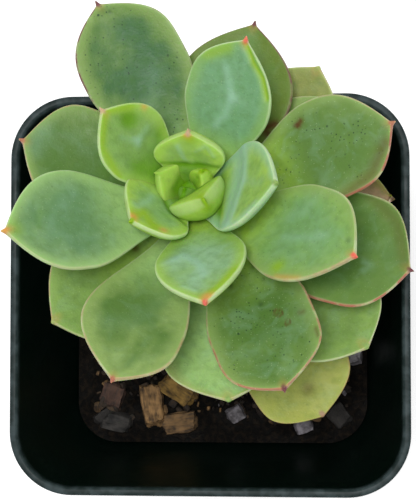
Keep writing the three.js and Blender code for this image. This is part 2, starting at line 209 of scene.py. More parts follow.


# A leaf's look. blade, heart, foot, rim, tip and line are colours: of the middle, its oval heart, the
# foot, the band inside the margin, the tip and the thin line on the margin. glow is how strong the heart
# shows, left and right are the line's strength on each side, specks is for dark dots and bloom for white
# powder, pale is for the whitish edge, partly the margin's own pale and partly a painted highlight where its
# round edge catches the light, halo for the amber round the tip and base for where the foot's colour ends.
# The foot's colour is painted light and shade: the dark moss on the feet of the bud's leaves and of leaves 1
# to 4 is painted shade in the gaps round the bud, and the lighter yellow-greens on the feet of grown leaves
# are painted light where the leaves shade each other. The lighter blades of leaves 10, 15, 18, 19 and 21 are
# painted light that makes up for the shade of the leaves above.
LEAF_PAINTS = ("blade", "heart", "foot", "rim", "tip", "line")
LEAF_STRENGTHS = ("glow", "left", "right", "specks", "bloom", "pale", "halo", "base")
LEAF_LOOK = dict(blade="leaf", heart="fern", foot="meadow", rim="celery", tip="rose", line="rose", glow=0.6,
                 left=0.2, right=0.2, specks=0.2, bloom=0.35, pale=0.45, halo=0.3, base=0.5)
BUD_LOOK = dict(left=0, right=0, specks=0, bloom=0.15, pale=0.1, halo=0, base=0.6)
LOOKS = {
    -3: dict(BUD_LOOK, blade="moss", heart="zing", foot="moss", rim="moss", tip="moss", glow=0.4),
    -2: dict(BUD_LOOK, blade="zing", heart="moss", foot="moss", rim="zing", tip="zest", glow=1, base=0.7),
    -1: dict(BUD_LOOK, blade="zing", heart="lime", foot="moss", rim="lime", tip="lime", glow=0.8, base=0.65),
    0: dict(BUD_LOOK, blade="zing", heart="zing", foot="moss", rim="lime", tip="zest", pale=0.3),
    1: dict(BUD_LOOK, blade="lime", heart="spring", foot="moss", rim="lime", tip="blush", pale=0.3, base=0.6),
    2: dict(BUD_LOOK, blade="lime", heart="sea", foot="moss", rim="lime", tip="zest", bloom=0.4, pale=0.6,
            base=0.45),
    3: dict(BUD_LOOK, blade="lime", heart="spring", foot="moss", rim="mist", tip="celery", pale=0.6,
            base=0.45, glow=0.8),
    4: dict(blade="spring", heart="fern", glow=0.3, foot="moss", rim="lime", tip="blush", left=0, right=0,
            pale=0.6, bloom=0.1, base=0.62),
    5: dict(blade="spring", heart="mist", foot="zing", rim="lime", tip="coral", left=0, right=0, pale=0.7,
            halo=0.5),
    6: dict(blade="sea", heart="sea", foot="zing", rim="spring", tip="coral", left=0, right=0, pale=0.6),
    7: dict(blade="sage", heart="deep", foot="pear", rim="pear", tip="amber", left=0.2, right=0, halo=0.6,
            base=0.62),
    8: dict(blade="spring", heart="sea", foot="zing", tip="coral", left=0.2, right=0.5, specks=0.3, halo=0.4,
            base=0.6, pale=0.6),
    9: dict(heart="pine", glow=1, foot="spring", left=1, right=0.4, line="plum", tip="plum", specks=1,
            bloom=0.05),
    10: dict(blade="celery", heart="fern", rim="celery", left=0.5, right=0.5, glow=0.9, foot="pear", pale=0.6,
             bloom=0.25, base=0.6),
    11: dict(left=0.4, right=1, specks=1, bloom=0.5, tip="rose", foot="zing", base=0.6, pale=0.6),
    12: dict(rim="celery", glow=0.9, foot="leaf", left=0.5, right=0.6, bloom=0.2, pale=0.5),
    13: dict(glow=0.9, foot="lime", left=0.8, right=0.9, line="rose", specks=1, bloom=0.5, tip="plum",
             pale=0.6, base=0.6),
    14: dict(blade="olive", heart="leaf", rim="olive", tip="plum", line="plum", glow=0.9, left=0.4, right=0.8,
             pale=0.2, bloom=0.2),
    15: dict(blade="meadow", heart="leaf", foot="lime", right=0.5, rim="celery", tip="sand", base=0.75,
             pale=0.6),
    16: dict(glow=0.9, rim="leaf", left=0.3, right=1, tip="plum", foot="zing", bloom=0.25, pale=0.7),
    18: dict(blade="pear", heart="pear", foot="celery", rim="sand", tip="celery", pale=0.6, bloom=0.5),
    19: dict(blade="celery", heart="meadow", rim="celery", tip="celery", bloom=0.2),
    21: dict(blade="meadow", heart="leaf", foot="spring", rim="celery", tip="celery", pale=0.7),
    24: dict(blade="blush", heart="tan", foot="tan", rim="blush", tip="umber", left=0, right=0, bloom=0,
             pale=0.2, halo=0),
    26: dict(blade="gold", heart="gold", foot="gold", rim="gold", tip="tan", left=0.4, right=0.3, pale=0.1,
             halo=0),
    27: dict(blade="sand", heart="olive", foot="leaf", rim="sand", tip="sand", glow=0.4),
}

# What single leaves carry: creases and hollows that their neighbours pressed into them in the bud, patches of
# colour, and scars. Each row has its kind, its places as shares along the leaf and across it, with the left
# side above 0, its reach in millimetres and its strength.
FEATURES = {
    -2: [("hollow", [(0.7, -0.1)], 0.7, 0.8)],
    -1: [("hollow", [(0.5, -0.4), (0.45, 0.3)], 0.9, 0.7)],
    0: [("glow", [(0.93, -0.2), (0.99, 0.2)], 1.0, 1.0), ("hollow", [(0.98, 0.0)], 0.7, 0.3)],
    1: [
        ("ridge", [(0.8, 0.35), (0.6, 0.15), (0.5, -0.05)], 0.5, 0.5),
        ("ridge", [(0.72, -0.2), (0.85, -0.7), (0.7, -0.7)], 0.5, 0.5),
        ("hollow", [(0.62, -0.25)], 1.4, 0.35),
        ("glow", [(0.94, -0.1)], 0.9, 1.0),
        ("blush", [(1.0, 0.3)], 0.6, 0.9),
        ("hollow", [(0.45, 0.9), (0.47, 0.0), (0.45, -0.9)], 0.6, 1.0),
    ],
    2: [
        ("hollow", [(0.3, -0.8), (0.42, 0.2), (0.42, 0.9)], 0.5, 0.8),
        ("ridge", [(0.84, -0.6), (0.8, -0.3), (0.6, -0.25), (0.5, -0.35)], 0.7, 0.5),
        ("glow", [(0.85, 0.6), (0.8, 0.0), (0.95, -0.3)], 1.0, 1.0),
        ("blush", [(0.97, -0.35)], 0.7, 0.9),
        ("blush", [(0.8, 0.75)], 0.6, 0.6),
        ("hollow", [(0.55, 0.25)], 1.2, 0.3),
    ],
    3: [
        ("ridge", [(0.5, 0.95), (0.56, 0.6), (0.58, 0.2), (0.57, -0.2), (0.6, -0.85)], 0.9, 0.7),
        # The shade row paints a pale bluish facet: a painted reflection of the sky.
        ("shade", [(0.44, 0.8), (0.49, 0.3), (0.5, -0.2), (0.54, -0.7)], 1.7, 1.1),
        ("ridge", [(0.6, 0.15), (0.78, 0.0), (0.83, 0.07)], 0.8, 0.3),
        ("hollow", [(0.22, 0.6), (0.3, 0.0), (0.38, -0.6), (0.45, -0.95)], 0.8, 0.9),
        ("glow", [(0.9, -0.7), (0.95, -0.2)], 0.9, 0.7),
    ],
    4: [
        ("hollow", [(0.8, -0.42)], 1.6, 1.0),
        ("hollow", [(0.51, -0.79)], 1.2, 0.8),
        ("hollow", [(0.28, -0.5), (0.28, 0.5)], 1.2, 0.8),
        ("hollow", [(0.5, 0.36)], 1.8, 0.7),
        ("ridge", [(0.76, 0.1), (0.64, -0.11), (0.65, -0.5)], 0.8, 0.4),
        ("ridge", [(0.64, -0.1), (0.54, 0.19)], 0.8, 0.35),
        ("glow", [(0.85, -0.85), (0.98, -0.3), (0.85, 0.85), (0.6, 0.95)], 0.6, 0.8),
        ("blush", [(0.77, -0.92)], 0.5, 0.6),
    ],
    5: [
        ("ridge", [(0.6, -0.8), (0.53, -0.41), (0.58, -0.2), (0.67, -0.02), (0.76, 0.06)], 0.8, 0.7),
        ("ridge", [(0.84, -0.64), (0.9, -0.35)], 0.5, 0.6),
        ("glow", [(0.8, 0.9), (0.9, 0.75), (0.97, 0.35)], 0.9, 1.0),
        ("blush", [(0.97, 0.4)], 0.8, 0.9),
        ("hollow", [(0.2, -0.6)], 1.5, 0.5),
    ],
    6: [
        ("ridge", [(0.81, 0.26), (0.73, 0.09), (0.66, -0.06), (0.54, -0.02), (0.46, 0.14)], 0.75, 0.55),
        ("ridge", [(0.66, -0.06), (0.65, -0.35)], 0.8, 0.35),
        ("crease", [(0.98, -0.4), (0.9, -0.62), (0.84, -0.85), (0.74, -0.9)], 0.45, 1.0),
        ("glow", [(0.85, 0.85), (0.93, 0.6)], 0.9, 0.7),
    ],
    7: [
        ("ridge", [(0.6, -0.5), (0.72, -0.25), (0.78, 0.05), (0.72, 0.3)], 1.0, 0.25),
        ("hollow", [(0.8, -0.3), (0.83, 0.0)], 0.7, 0.35),
        ("glow", [(0.96, 0.0)], 1.4, 0.5),
    ],
    8: [
        ("ridge", [(0.58, -0.15), (0.64, -0.11), (0.72, 0.0), (0.8, 0.15)], 0.9, 0.4),
        ("ridge", [(0.55, 0.3), (0.61, 0.4), (0.66, 0.8)], 1.2, 0.3),
        ("glow", [(0.65, -0.75)], 1.0, 1.0),
        ("blush", [(0.68, -0.97), (0.8, -0.98)], 0.5, 0.5),
        ("speck", [(0.94, 0.38)], 0.45, 0.5),
        ("speck", [(0.82, 0.53)], 0.4, 0.4),
    ],
    9: [
        ("speck", [(0.95, -0.21)], 0.3, 0.6),
        ("speck", [(0.59, 0.4)], 0.3, 0.5),
        ("speck", [(0.66, -0.5)], 0.3, 0.5),
        ("ridge", [(0.62, -0.3), (0.5, 0.0), (0.45, 0.3)], 1.4, 0.25),
    ],
    10: [("ridge", [(0.75, -0.6), (0.7, 0.0), (0.55, 0.3)], 1.8, 0.2)],
    11: [
        ("scar", [(0.58, 0.66), (0.6, 0.72)], 0.4, 1.0),
        ("scar", [(0.57, 0.7)], 0.3, 0.9),
        ("scar", [(0.95, -0.6), (0.85, -0.85), (0.7, -0.97)], 1.0, 0.5),
    ],
    12: [
        ("ridge", [(0.62, -0.5), (0.61, -0.25), (0.8, -0.4)], 0.9, 0.2),
        ("hollow", [(0.5, -0.2)], 2.6, 0.35),
        ("ridge", [(0.93, 0.2), (0.93, -0.5)], 2.0, 0.35),
    ],
    13: [
        ("speck", [(0.41, -0.27)], 0.35, 0.9),
        ("speck", [(0.37, 0.55)], 0.3, 0.8),
        ("speck", [(0.46, 0.5)], 0.25, 0.7),
        ("speck", [(0.57, 0.15)], 0.35, 0.8),
        ("ring", [(0.65, 0.34), (0.67, 0.4)], 0.32, 0.8),
        ("ring", [(0.73, 0.46)], 0.36, 0.8),
        ("scar", [(0.72, 0.72), (0.73, 0.8)], 0.35, 0.5),
        ("scar", [(0.84, 0.9), (0.88, 0.93)], 0.3, 0.5),
        ("ridge", [(0.78, -0.3), (0.72, 0.0), (0.8, 0.3)], 1.2, 0.2),
    ],
    14: [("scar", [(0.47, -0.92), (0.49, -0.75), (0.53, -0.9)], 0.6, 1.0)],
    15: [("scar", [(0.33, -0.66), (0.36, -0.54), (0.38, -0.34)], 0.6, 0.8)],
    16: [
        ("ridge", [(0.79, -0.14), (0.83, -0.16), (0.8, -0.3)], 0.6, 0.35),
        ("scar", [(0.97, 0.3), (0.9, 0.8), (0.75, 0.97)], 1.0, 0.3),
    ],
    26: [("scar", [(0.85, 0.01)], 0.9, 0.5)],
}

# What each kind of feature does at full strength: its press in millimetres, and then its shares of the
# measures below. Relief is pale where it is raised, a painted highlight, and deep green where it is sunk, a
# painted shade; glow is yellow, blush is amber, mark is brown and dark is for dots.
FEATURE_MEASURES = ("relief", "glow", "blush", "mark", "dark")
EFFECTS = {
    "ridge": (0.2, 1, 0, 0, 0, 0),
    "hollow": (-0.3, -1, 0, 0, 0, 0),
    # shade paints a pale bluish facet, a painted reflection of the sky.
    "shade": (-0.15, 0.7, 0, 0, 0, 0),
    "crease": (-0.35, 0, 1, 0, 0, 0),
    "glow": (0, 0, 1, 0, 0, 0),
    "blush": (0, 0, 0, 1, 0, 0),
    "speck": (-0.05, 0, 0, 0, 0, 0.8),
    "scar": (-0.08, 0, 0, 0, 1, 0),
    "ring": (-0.05, 0, 0, 0, 0.9, 0),
}
RING_LINE = 0.14

# How fast a grown leaf's features come up from its margin to its upper face.
FACE_RISE = 3

# The patterns on a leaf's skin: how large their patches are in millimetres, and for dots the spacing and the
# radius in millimetres and the share of the places that have one.
BROAD_PATCH = 4.5
SPECKLED_PATCH = 3.2
WAX_PATCH = 2.2
LINE_PATCH = 2.0
MOTTLE_PATCH = 1.2
FINE_PATCH = 0.35
SMALL_DOTS = (0.55, 0.15, 0.6)
LARGE_DOTS = (1.7, 0.24, 0.5)
POWDER_DOTS = (0.4, 0.09, 0.45)

# How light spreads under a leaf's skin, and how it shines.
LEAF_FLESH = {
    "Subsurface Weight": 0.35,
    "Subsurface Radius": (0.5, 1.0, 0.25),
    "Subsurface Scale": 0.0016,
    "IOR": 1.4,
    "Specular IOR Level": 0.35,
}

# The dark dots on leaves, the black that chips and crumbs are darkened towards by their tint, the pot's
# plastic and the soil, as linear colours.
DOT_GREEN = (0.02, 0.055, 0.02, 1)
PIT_BLACK = (0.008, 0.006, 0.005, 1)
PLASTIC = linear((2, 18, 12))
PLASTIC_DUST = linear((26, 34, 32))
PLASTIC_WORN_AND_LIT = linear((64, 76, 78))
SOIL_DARK = linear((5, 4, 3))
SOIL_BROWN = linear((27, 20, 12))

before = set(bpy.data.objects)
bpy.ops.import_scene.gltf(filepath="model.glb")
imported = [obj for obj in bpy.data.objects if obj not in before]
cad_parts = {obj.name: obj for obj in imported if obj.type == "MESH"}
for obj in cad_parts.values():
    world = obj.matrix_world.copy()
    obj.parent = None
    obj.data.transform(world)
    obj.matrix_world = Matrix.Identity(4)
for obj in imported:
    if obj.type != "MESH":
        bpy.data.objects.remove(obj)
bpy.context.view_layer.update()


def make_camera():
    """The photograph's view: a long lens above the pot, with the image's upright along +Y."""
    data = bpy.data.cameras.new("camera")
    data.lens = LENS
    data.sensor_width = SENSOR
    data.sensor_fit = "AUTO"
    camera = bpy.data.objects.new("camera", data)
    bpy.context.scene.collection.objects.link(camera)
    at = Vector(CAMERA_AT) * MM
    back = (at - Vector(CAMERA_TOWARDS) * MM).normalized()
    right = Vector((0, 1, 0)).cross(back).normalized()
    up = back.cross(right)
    facing = Matrix((right, up, back)).transposed().to_4x4()
    camera.matrix_world = Matrix.Translation(at) @ facing
    bpy.context.scene.camera = camera


make_camera()


def build(name, points, faces, material, nodes, values=None, sharp=40):
    """A piece from points in millimetres and a list of face arrays, smooth but for sharp edges. Its values
    are numbers or vectors, one to a point."""
    mesh = bpy.data.meshes.new(name)
    corners = [face for group in faces for face in group.tolist()]
    mesh.from_pydata((points * MM).tolist(), [], corners)
    for key, numbers in (values or {}).items():
        numbers = np.asarray(numbers, np.float32)
        kind, field = ("FLOAT", "value") if numbers.ndim == 1 else ("FLOAT_VECTOR", "vector")
        layer = mesh.attributes.new(key, kind, "POINT")
        layer.data.foreach_set(field, numbers.ravel())
    mesh.shade_smooth()
    mesh.set_sharp_from_angle(angle=math.radians(sharp))
    mesh.materials.append(material)
    piece = bpy.data.objects.new(name, mesh)
    bpy.context.scene.collection.objects.link(piece)
    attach(piece, "root")
    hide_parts(*nodes)
    return piece


def tube_faces(rings, count):
    """Faces of a closed tube of rings: four-cornered between rings, and a fan to a pole at each end."""
    i, j = np.meshgrid(np.arange(rings - 1), np.arange(count), indexing="ij")
    here = (i * count + j).ravel()
    after = (i * count + (j + 1) % count).ravel()
    sides = np.stack([here, after, after + count, here + count], axis=1)
    turn = np.arange(count)
    following = (turn + 1) % count
    low = np.full(count, rings * count)
    top = (rings - 1) * count
    start = np.stack([low, following, turn], axis=1)
    end = np.stack([low + 1, top + turn, top + following], axis=1)
    return [sides, start, end]


def tube(name, rings, material, nodes, values=None, sharp=40):
    """A closed piece through rings of points, with a pole in the middle of the first ring and of the last.
    Its values are given ring by ring, too."""

    def with_poles(grid):
        """The grid row by row, and then the mean of its first row and of its last."""
        flat = grid.reshape(-1, *grid.shape[2:])
        return np.concatenate([flat, np.stack([grid[0].mean(0), grid[-1].mean(0)])])

    rings = np.asarray(rings)
    closed = {key: with_poles(grid) for key, grid in (values or {}).items()}
    return build(name, with_poles(rings), tube_faces(*rings.shape[:2]), material, nodes, closed, sharp)


# What scrambles the place of a lattice corner into its value.
LATTICE_MIX = np.array([127.1, 311.7, 74.7])
LATTICE_STRETCH = 43758.5453


def lumps(points, size, seed):
    """Smooth random lumps from -1 to 1: seeded values on a cubic lattice of that size, blended between its
    corners."""
    cell = np.floor(points / size)
    share = points / size - cell
    blend = share * share * (3 - 2 * share)
    total = np.zeros(points.shape[:-1])
    for corner in np.ndindex(2, 2, 2):
        mixed = np.sin((cell + corner) @ LATTICE_MIX + seed) * LATTICE_STRETCH
        weight = np.prod(np.where(np.array(corner) == 1, blend, 1 - blend), axis=-1)
        total += weight * (mixed - np.floor(mixed))
    return 2 * total - 1


# Shader nodes.


def node(tree, kind, inputs=None, **settings):
    """A shader node with its settings, and its inputs as constants or as sockets to link from."""
    made = tree.nodes.new(kind)
    for key, value in settings.items():
        setattr(made, key, value)
    for key, value in (inputs or {}).items():
        if isinstance(value, bpy.types.NodeSocket):
            tree.links.new(value, made.inputs[key])
        else:
            made.inputs[key].default_value = value
    return made


def attribute(tree, name):
    """A measure that a mesh keeps on its points."""
    return node(tree, "ShaderNodeAttribute", attribute_name=name).outputs["Fac"]


def maths(tree, operation, first, second=0.0):
    """One operation on two values."""
    return node(tree, "ShaderNodeMath", {0: first, 1: second}, operation=operation).outputs[0]


def times(tree, first, second):
    """The product of two values."""
    return maths(tree, "MULTIPLY", first, second)


def plus(tree, first, second):
    """The sum of two values."""
    return maths(tree, "ADD", first, second)


def ease(tree, value, low, high, start=0.0, end=1.0):
    """Start below low, end above high, and a smooth step between."""
    inputs = {"Value": value, "From Min": low, "From Max": high, "To Min": start, "To Max": end}
    return node(tree, "ShaderNodeMapRange", inputs, interpolation_type="SMOOTHSTEP").outputs["Result"]


def mix(tree, share, under, over):
    """The colour over laid on the colour under by a share."""
    return node(tree, "ShaderNodeMix", {0: share, 6: under, 7: over}, data_type="RGBA").outputs[2]


def place(tree):
    """Where a point of the skin is on its piece, in metres."""
    return node(tree, "ShaderNodeTexCoord").outputs["Object"]


def noise(tree, size_mm, detail=2.0, distortion=0.0, vector=None):
    """Noise with lumps of about a size in millimetres."""
    inputs = {
        "Vector": vector or place(tree),
        "Scale": 1 / (size_mm * MM),
        "Detail": detail,
        "Distortion": distortion,
    }
    return node(tree, "ShaderNodeTexNoise", inputs).outputs["Fac"]


def dots(tree, spacing_mm, radius_mm, share):
    """Round dots, one to a cell of the spacing, shown in a share of the cells."""
    cells = node(tree, "ShaderNodeTexVoronoi", {"Vector": place(tree), "Scale": 1 / (spacing_mm * MM)})
    radius = radius_mm / spacing_mm
    disc = ease(tree, cells.outputs["Distance"], 0.4 * radius, radius, 1.0, 0.0)
    pick = node(tree, "ShaderNodeSeparateColor", {"Color": cells.outputs["Color"]}).outputs[0]
    return times(tree, disc, maths(tree, "LESS_THAN", pick, share))


def new_group(name, inputs, outputs):
    """An empty node group with named sockets. Returns the tree, its input sockets and its output node."""
    tree = bpy.data.node_groups.new(name, "ShaderNodeTree")
    for socket, kind, value in inputs:
        made = tree.interface.new_socket(socket, in_out="INPUT", socket_type=kind)
        made.default_value = value
    for socket, kind in outputs:
        tree.interface.new_socket(socket, in_out="OUTPUT", socket_type=kind)
    given = tree.nodes.new("NodeGroupInput").outputs
    return tree, given, tree.nodes.new("NodeGroupOutput")


COLOUR = "NodeSocketColor"
NUMBER = "NodeSocketFloat"


def leaf_skin_group():
    """A leaf's colours from its own measures: how far along, across, from the margin and from the tip."""
    paints = [(name.title(), COLOUR, (1, 1, 1, 1)) for name in LEAF_PAINTS]
    strengths = [(name.title(), NUMBER, 0.5) for name in LEAF_STRENGTHS]
    outputs = [("Color", COLOUR), ("Roughness", NUMBER), ("Height", NUMBER)]
    tree, given, result = new_group("leaf_skin", paints + strengths, outputs)
    along, across, edge, tip = (attribute(tree, key) for key in ("along", "across", "edge", "tip"))
    relief, glow, blush, mark, spots = (attribute(tree, key) for key in FEATURE_MEASURES)
    broad = noise(tree, BROAD_PATCH, 2.0, 0.4)
    mottle = noise(tree, MOTTLE_PATCH, 3.0)
    fine = noise(tree, FINE_PATCH, 2.0)

    def centred(value, size):
        """A value from 0 to 1 moved to lie on both sides of 0, times a size."""
        return times(tree, maths(tree, "SUBTRACT", value, 0.5), size)

    # The heart is an uneven oval in the middle of the blade. The foot's colour, painted shade round the bud
    # and painted light on grown leaves, ends at its base value. A thin bloom of wax lies over both.
    lengthways = maths(tree, "POWER", times(tree, maths(tree, "SUBTRACT", along, 0.6), 2.6), 2.0)
    crossways = maths(tree, "POWER", times(tree, across, 1.2), 2.0)
    uneven = plus(tree, plus(tree, lengthways, crossways), centred(broad, 2.4))
    heart = times(tree, ease(tree, uneven, 0.05, 1.25, 1.0, 0.0), given["Glow"])
    foot = ease(tree, along, maths(tree, "SUBTRACT", given["Base"], 0.3), given["Base"], 0.95, 0.0)
    wax = times(tree, ease(tree, noise(tree, WAX_PATCH, 4.0, 0.8), 0.4, 0.75, 0.0, 0.4), given["Bloom"])

    # By millimetres from the margin: a wandering band, a thin whitish edge, partly a painted highlight, and a
    # broken line.
    band = ease(tree, plus(tree, edge, centred(broad, 1.6)), 0.1, 2.4, 0.65, 0.0)
    pale = times(tree, ease(tree, edge, 0.05, 0.42, 1.0, 0.0), given["Pale"])
    side = maths(tree, "GREATER_THAN", across, 0.0)
    left = times(tree, side, given["Left"])
    right = times(tree, maths(tree, "SUBTRACT", 1.0, side), given["Right"])
    strength = times(tree, plus(tree, left, right), ease(tree, along, 0.3, 0.7))
    broken = times(tree, strength, ease(tree, noise(tree, LINE_PATCH, 3.0), 0.36, 0.54, 0.3, 1.0))

    # By millimetres from the tip: the tip's own colour in an amber halo.
    reddened = plus(tree, tip, centred(mottle, 0.8))
    halo = times(tree, ease(tree, reddened, 0.4, 2.4, 1.0, 0.0), given["Halo"])

    # Dark dots lie in patches away from the margin, and white powder lies everywhere.
    patches = ease(tree, noise(tree, SPECKLED_PATCH, 2.0), 0.42, 0.62, 0.15, 1.0)
    inner = times(tree, times(tree, patches, given["Specks"]), ease(tree, edge, 0.4, 1.6))
    dotted = maths(tree, "MAXIMUM", dots(tree, *SMALL_DOTS), dots(tree, *LARGE_DOTS))
    powder = times(tree, dots(tree, *POWDER_DOTS), given["Bloom"])

    # The paints from the lowest to the highest, each after the share of it that shows. Ridges pressed up by
    # the neighbours are pale, a painted highlight, and the hollows between them are deep green, a painted
    # shade.
    layers = [
        (heart, given["Heart"]),
        (foot, given["Foot"]),
        (ease(tree, mottle, 0.35, 0.75, 0.0, 0.3), linear("fern")),
        (wax, linear("mist")),
        (ease(tree, relief, 0.0, 1.0, 0.0, 0.75), linear("mist")),
        (ease(tree, relief, -1.0, 0.0, 0.9, 0.0), linear("moss")),
        (band, given["Rim"]),
        (times(tree, glow, 0.85), linear("zest")),
        (times(tree, pale, ease(tree, broad, 0.3, 0.6, 0.5, 1.0)), linear("cream")),
        (times(tree, ease(tree, edge, 0.08, 0.42, 1.0, 0.0), broken), given["Line"]),
        (blush, linear("amber")),
        (halo, linear("amber")),
        (ease(tree, reddened, 0.5, 1.3, 1.0, 0.0), given["Tip"]),
        (maths(tree, "MAXIMUM", times(tree, times(tree, dotted, inner), 0.9), spots), DOT_GREEN),
        (times(tree, powder, 0.6), linear("cream")),
        (mark, linear("umber")),
    ]
    colour = given["Blade"]
    for share, paint in layers:
        colour = mix(tree, share, colour, paint)
    tree.links.new(colour, result.inputs["Color"])
    tree.links.new(ease(tree, mottle, 0.2, 0.8, 0.42, 0.6), result.inputs["Roughness"])
    tree.links.new(plus(tree, fine, times(tree, mottle, 1.5)), result.inputs["Height"])
    return tree


def new_material(name):
    """A material with only a Principled shader. Returns it with its tree and the shader."""
    material = bpy.data.materials.new(name)
    material.use_nodes = True
    tree = material.node_tree
    return material, tree, tree.nodes["Principled BSDF"]


def dress(tree, shader, colour, roughness, height, strength, depth_mm):
    """Give a shader its colour, its roughness and a bump that follows a height."""
    bump = node(tree, "ShaderNodeBump", {"Height": height, "Strength": strength, "Distance": depth_mm * MM})
    tree.links.new(colour, shader.inputs["Base Color"])
    tree.links.new(roughness, shader.inputs["Roughness"])
    tree.links.new(bump.outputs["Normal"], shader.inputs["Normal"])


def leaf_material(name, look, group):
    """Waxy, slightly see-through leaf skin with one leaf's own colours."""
    material, tree, shader = new_material(name)
    full = {**LEAF_LOOK, **look}
    skin = tree.nodes.new("ShaderNodeGroup")
    skin.node_tree = group
    for part in LEAF_PAINTS:
        skin.inputs[part.title()].default_value = linear(full[part])
    for part in LEAF_STRENGTHS:
        skin.inputs[part.title()].default_value = full[part]
    made = skin.outputs
    dress(tree, shader, made["Color"], made["Roughness"], made["Height"], strength=0.25, depth_mm=0.2)
    for key, value in LEAF_FLESH.items():
        shader.inputs[key].default_value = value
    return material


# The stem's line.


def stem_point(share):
    """A point on the stem's line, a curve of second degree from STEM_START by STEM_BEND to STEM_TIP."""
    t = np.asarray(share, float)[..., None]
    return (1 - t) ** 2 * STEM_START + 2 * t * (1 - t) * STEM_BEND + t**2 * STEM_TIP


def directions(share, turn):
    """Up the stem, outwards at a turn from +X in degrees, and to the left of that."""
    along = (1 - share) * (STEM_BEND - STEM_START) + share * (STEM_TIP - STEM_BEND)
    along = along / np.linalg.norm(along)
    level = np.array([math.cos(math.radians(turn)), math.sin(math.radians(turn)), 0])
    out = level - along * (level @ along)
    out = out / np.linalg.norm(out)
    return along, out, np.cross(along, out)


# The leaves.


def leaf_of(age):
    """The leaf of one age by the plant's rule, with this plant's departures from it. Angles in radians."""
    own = {**RULE, **DEPARTURES.get(age, {})}
    pitch = min(STEEPEST, UPRIGHT * math.exp(-age / OPENING_PACE)) + own["lift"]
    steps = (age - YOUNGEST) / (OLDEST - YOUNGEST)
    narrower = YOUNG_NARROWING * math.exp(-age / WIDTH_PACE)
    thinner = YOUNG_THINNING * math.exp(-(age - YOUNGEST) / THICKNESS_PACE)
    return dict(
        own,
        share=1 - LEAFY_SHARE * steps**LEAF_SPREAD,
        turn=FIRST_TURN + GOLDEN_ANGLE * (age - FIRST_LEAF) + own["turn"],
        length=LEAF_LENGTH * own["long"] / (1 + math.exp(-(age - HALF_GROWN) / LENGTH_PACE)),
        width=LEAF_WIDTH * own["wide"] * (1 - narrower),
        thickness=LEAF_THICKNESS * own["thick"] * (1 - thinner),
        pitch_foot=math.radians(pitch - LEAF_CURL),
        pitch_tip=math.radians(pitch + LEAF_CURL),
        left=TIP_POWER * own["full"] * own["left"],
        right=TIP_POWER * own["full"] * own["right"],
        keel=SECTION_POWER * own["keel"],
    )


def half_width(leaf, u, s):
    """The outline: an eased swell from the foot to the widest place, then a power curve that closes on the
    tip and flares into the spike. s is above 0 on the leaf's left and below 0 on its right."""
    widest = leaf["widest"]
    rise = np.clip(u / widest, 0, 1) ** SWELL_POWER
    swell = leaf["foot"] + (1 - leaf["foot"]) * rise * rise * (3 - 2 * rise)
    power = np.where(s > 0, leaf["left"], leaf["right"])
    close = 1 - np.clip((u - widest) / (1 - widest), 0, 1) ** power
    blade = leaf["width"] / 2 * np.where(u < widest, swell, close)
    return (blade**FLARE + spike_radius(leaf, u) ** FLARE) ** (1 / FLARE)


def spike_radius(leaf, u):
    """The spike's radius, which shrinks evenly past the end of the blade."""
    return SPIKE_RADIUS * (1 - SPIKE_TAPER * np.clip((u - 1) * leaf["length"] / leaf["spike"], 0, 1))


def thickness_at(leaf, u):
    """Thickest before the middle, thinner at the foot and thinnest at the tip, then down to the spike."""
    low = FOOT_THINNING * (1 - np.clip(u / THICKEST, 0, 1)) ** 2
    high = TIP_THINNING * np.clip((u - THICKEST) / (1 - THICKEST), 0, 1) ** TIP_THINNING_POWER
    blade = np.maximum(THINNEST, leaf["thickness"] * (1 - low - high))
    return blade * spike_radius(leaf, u) / SPIKE_RADIUS


# Stations along a leaf and points round its section, closer together near the tip and on the upper face. Most
# of the upper points' spacing is even across the leaf, and the rest is even round the section.
STATIONS = 84
UPPER_POINTS = 72
LOWER_POINTS = 36
TIP_CROWDING = 1.35
EVEN_ACROSS = 0.55


def leaf_grid(leaf):
    """The two parameters on a grid: u from foot to spike, and the section's cosine s and sine c."""
    t = np.linspace(0, 1, STATIONS)
    u = (1 + leaf["spike"] / leaf["length"]) * (1 - (1 - t) ** TIP_CROWDING)
    top = np.linspace(0, math.pi, UPPER_POINTS + 1)[:-1]
    across = np.arccos(np.clip(1 - 2 * top / math.pi, -1, 1))
    evened = (1 - EVEN_ACROSS) * top + EVEN_ACROSS * across
    below = math.pi + np.linspace(0, math.pi, LOWER_POINTS + 1)[:-1]
    angle = np.concatenate([evened, below])
    u, angle = np.meshgrid(u, angle, indexing="ij")
    return u, np.cos(angle), np.sin(angle)


def leaf_surface(leaf, u, s, c, press):
    """Points of a fleshy blade: lens-shaped sections, dished above and keeled below, swept along an arc that
    bends evenly from the foot's pitch to the tip's. press lifts the upper face in millimetres."""
    along, out, left = directions(leaf["share"], leaf["turn"])
    bend = leaf["pitch_tip"] - leaf["pitch_foot"]
    pitch = leaf["pitch_foot"] + bend * u
    reach = leaf["length"] / bend * (np.sin(pitch) - math.sin(leaf["pitch_foot"]))
    climb = leaf["length"] / bend * (math.cos(leaf["pitch_foot"]) - np.cos(pitch))
    half = half_width(leaf, u, s)
    thick = thickness_at(leaf, u)
    above = ABOVE_SHARE * thick * np.maximum(c, 0) ** SECTION_POWER
    below = (1 - ABOVE_SHARE) * thick * np.maximum(-c, 0) ** leaf["keel"]
    ripple = leaf["wave"] * u * np.sin(RIPPLE_ALONG * u + RIPPLE_ACROSS * s)
    rise = DISH * half * s * s + ripple + above - below + press
    foot = stem_point(leaf["share"]) + out * STEM_RADIUS_TOP / 2 - along * leaf["sink"]
    outward = (reach - rise * np.sin(pitch))[..., None] * out
    upward = (climb + rise * np.cos(pitch))[..., None] * along
    sideways = (leaf["side"] * u**3 + half * s)[..., None] * left
    return foot + outward + upward + sideways


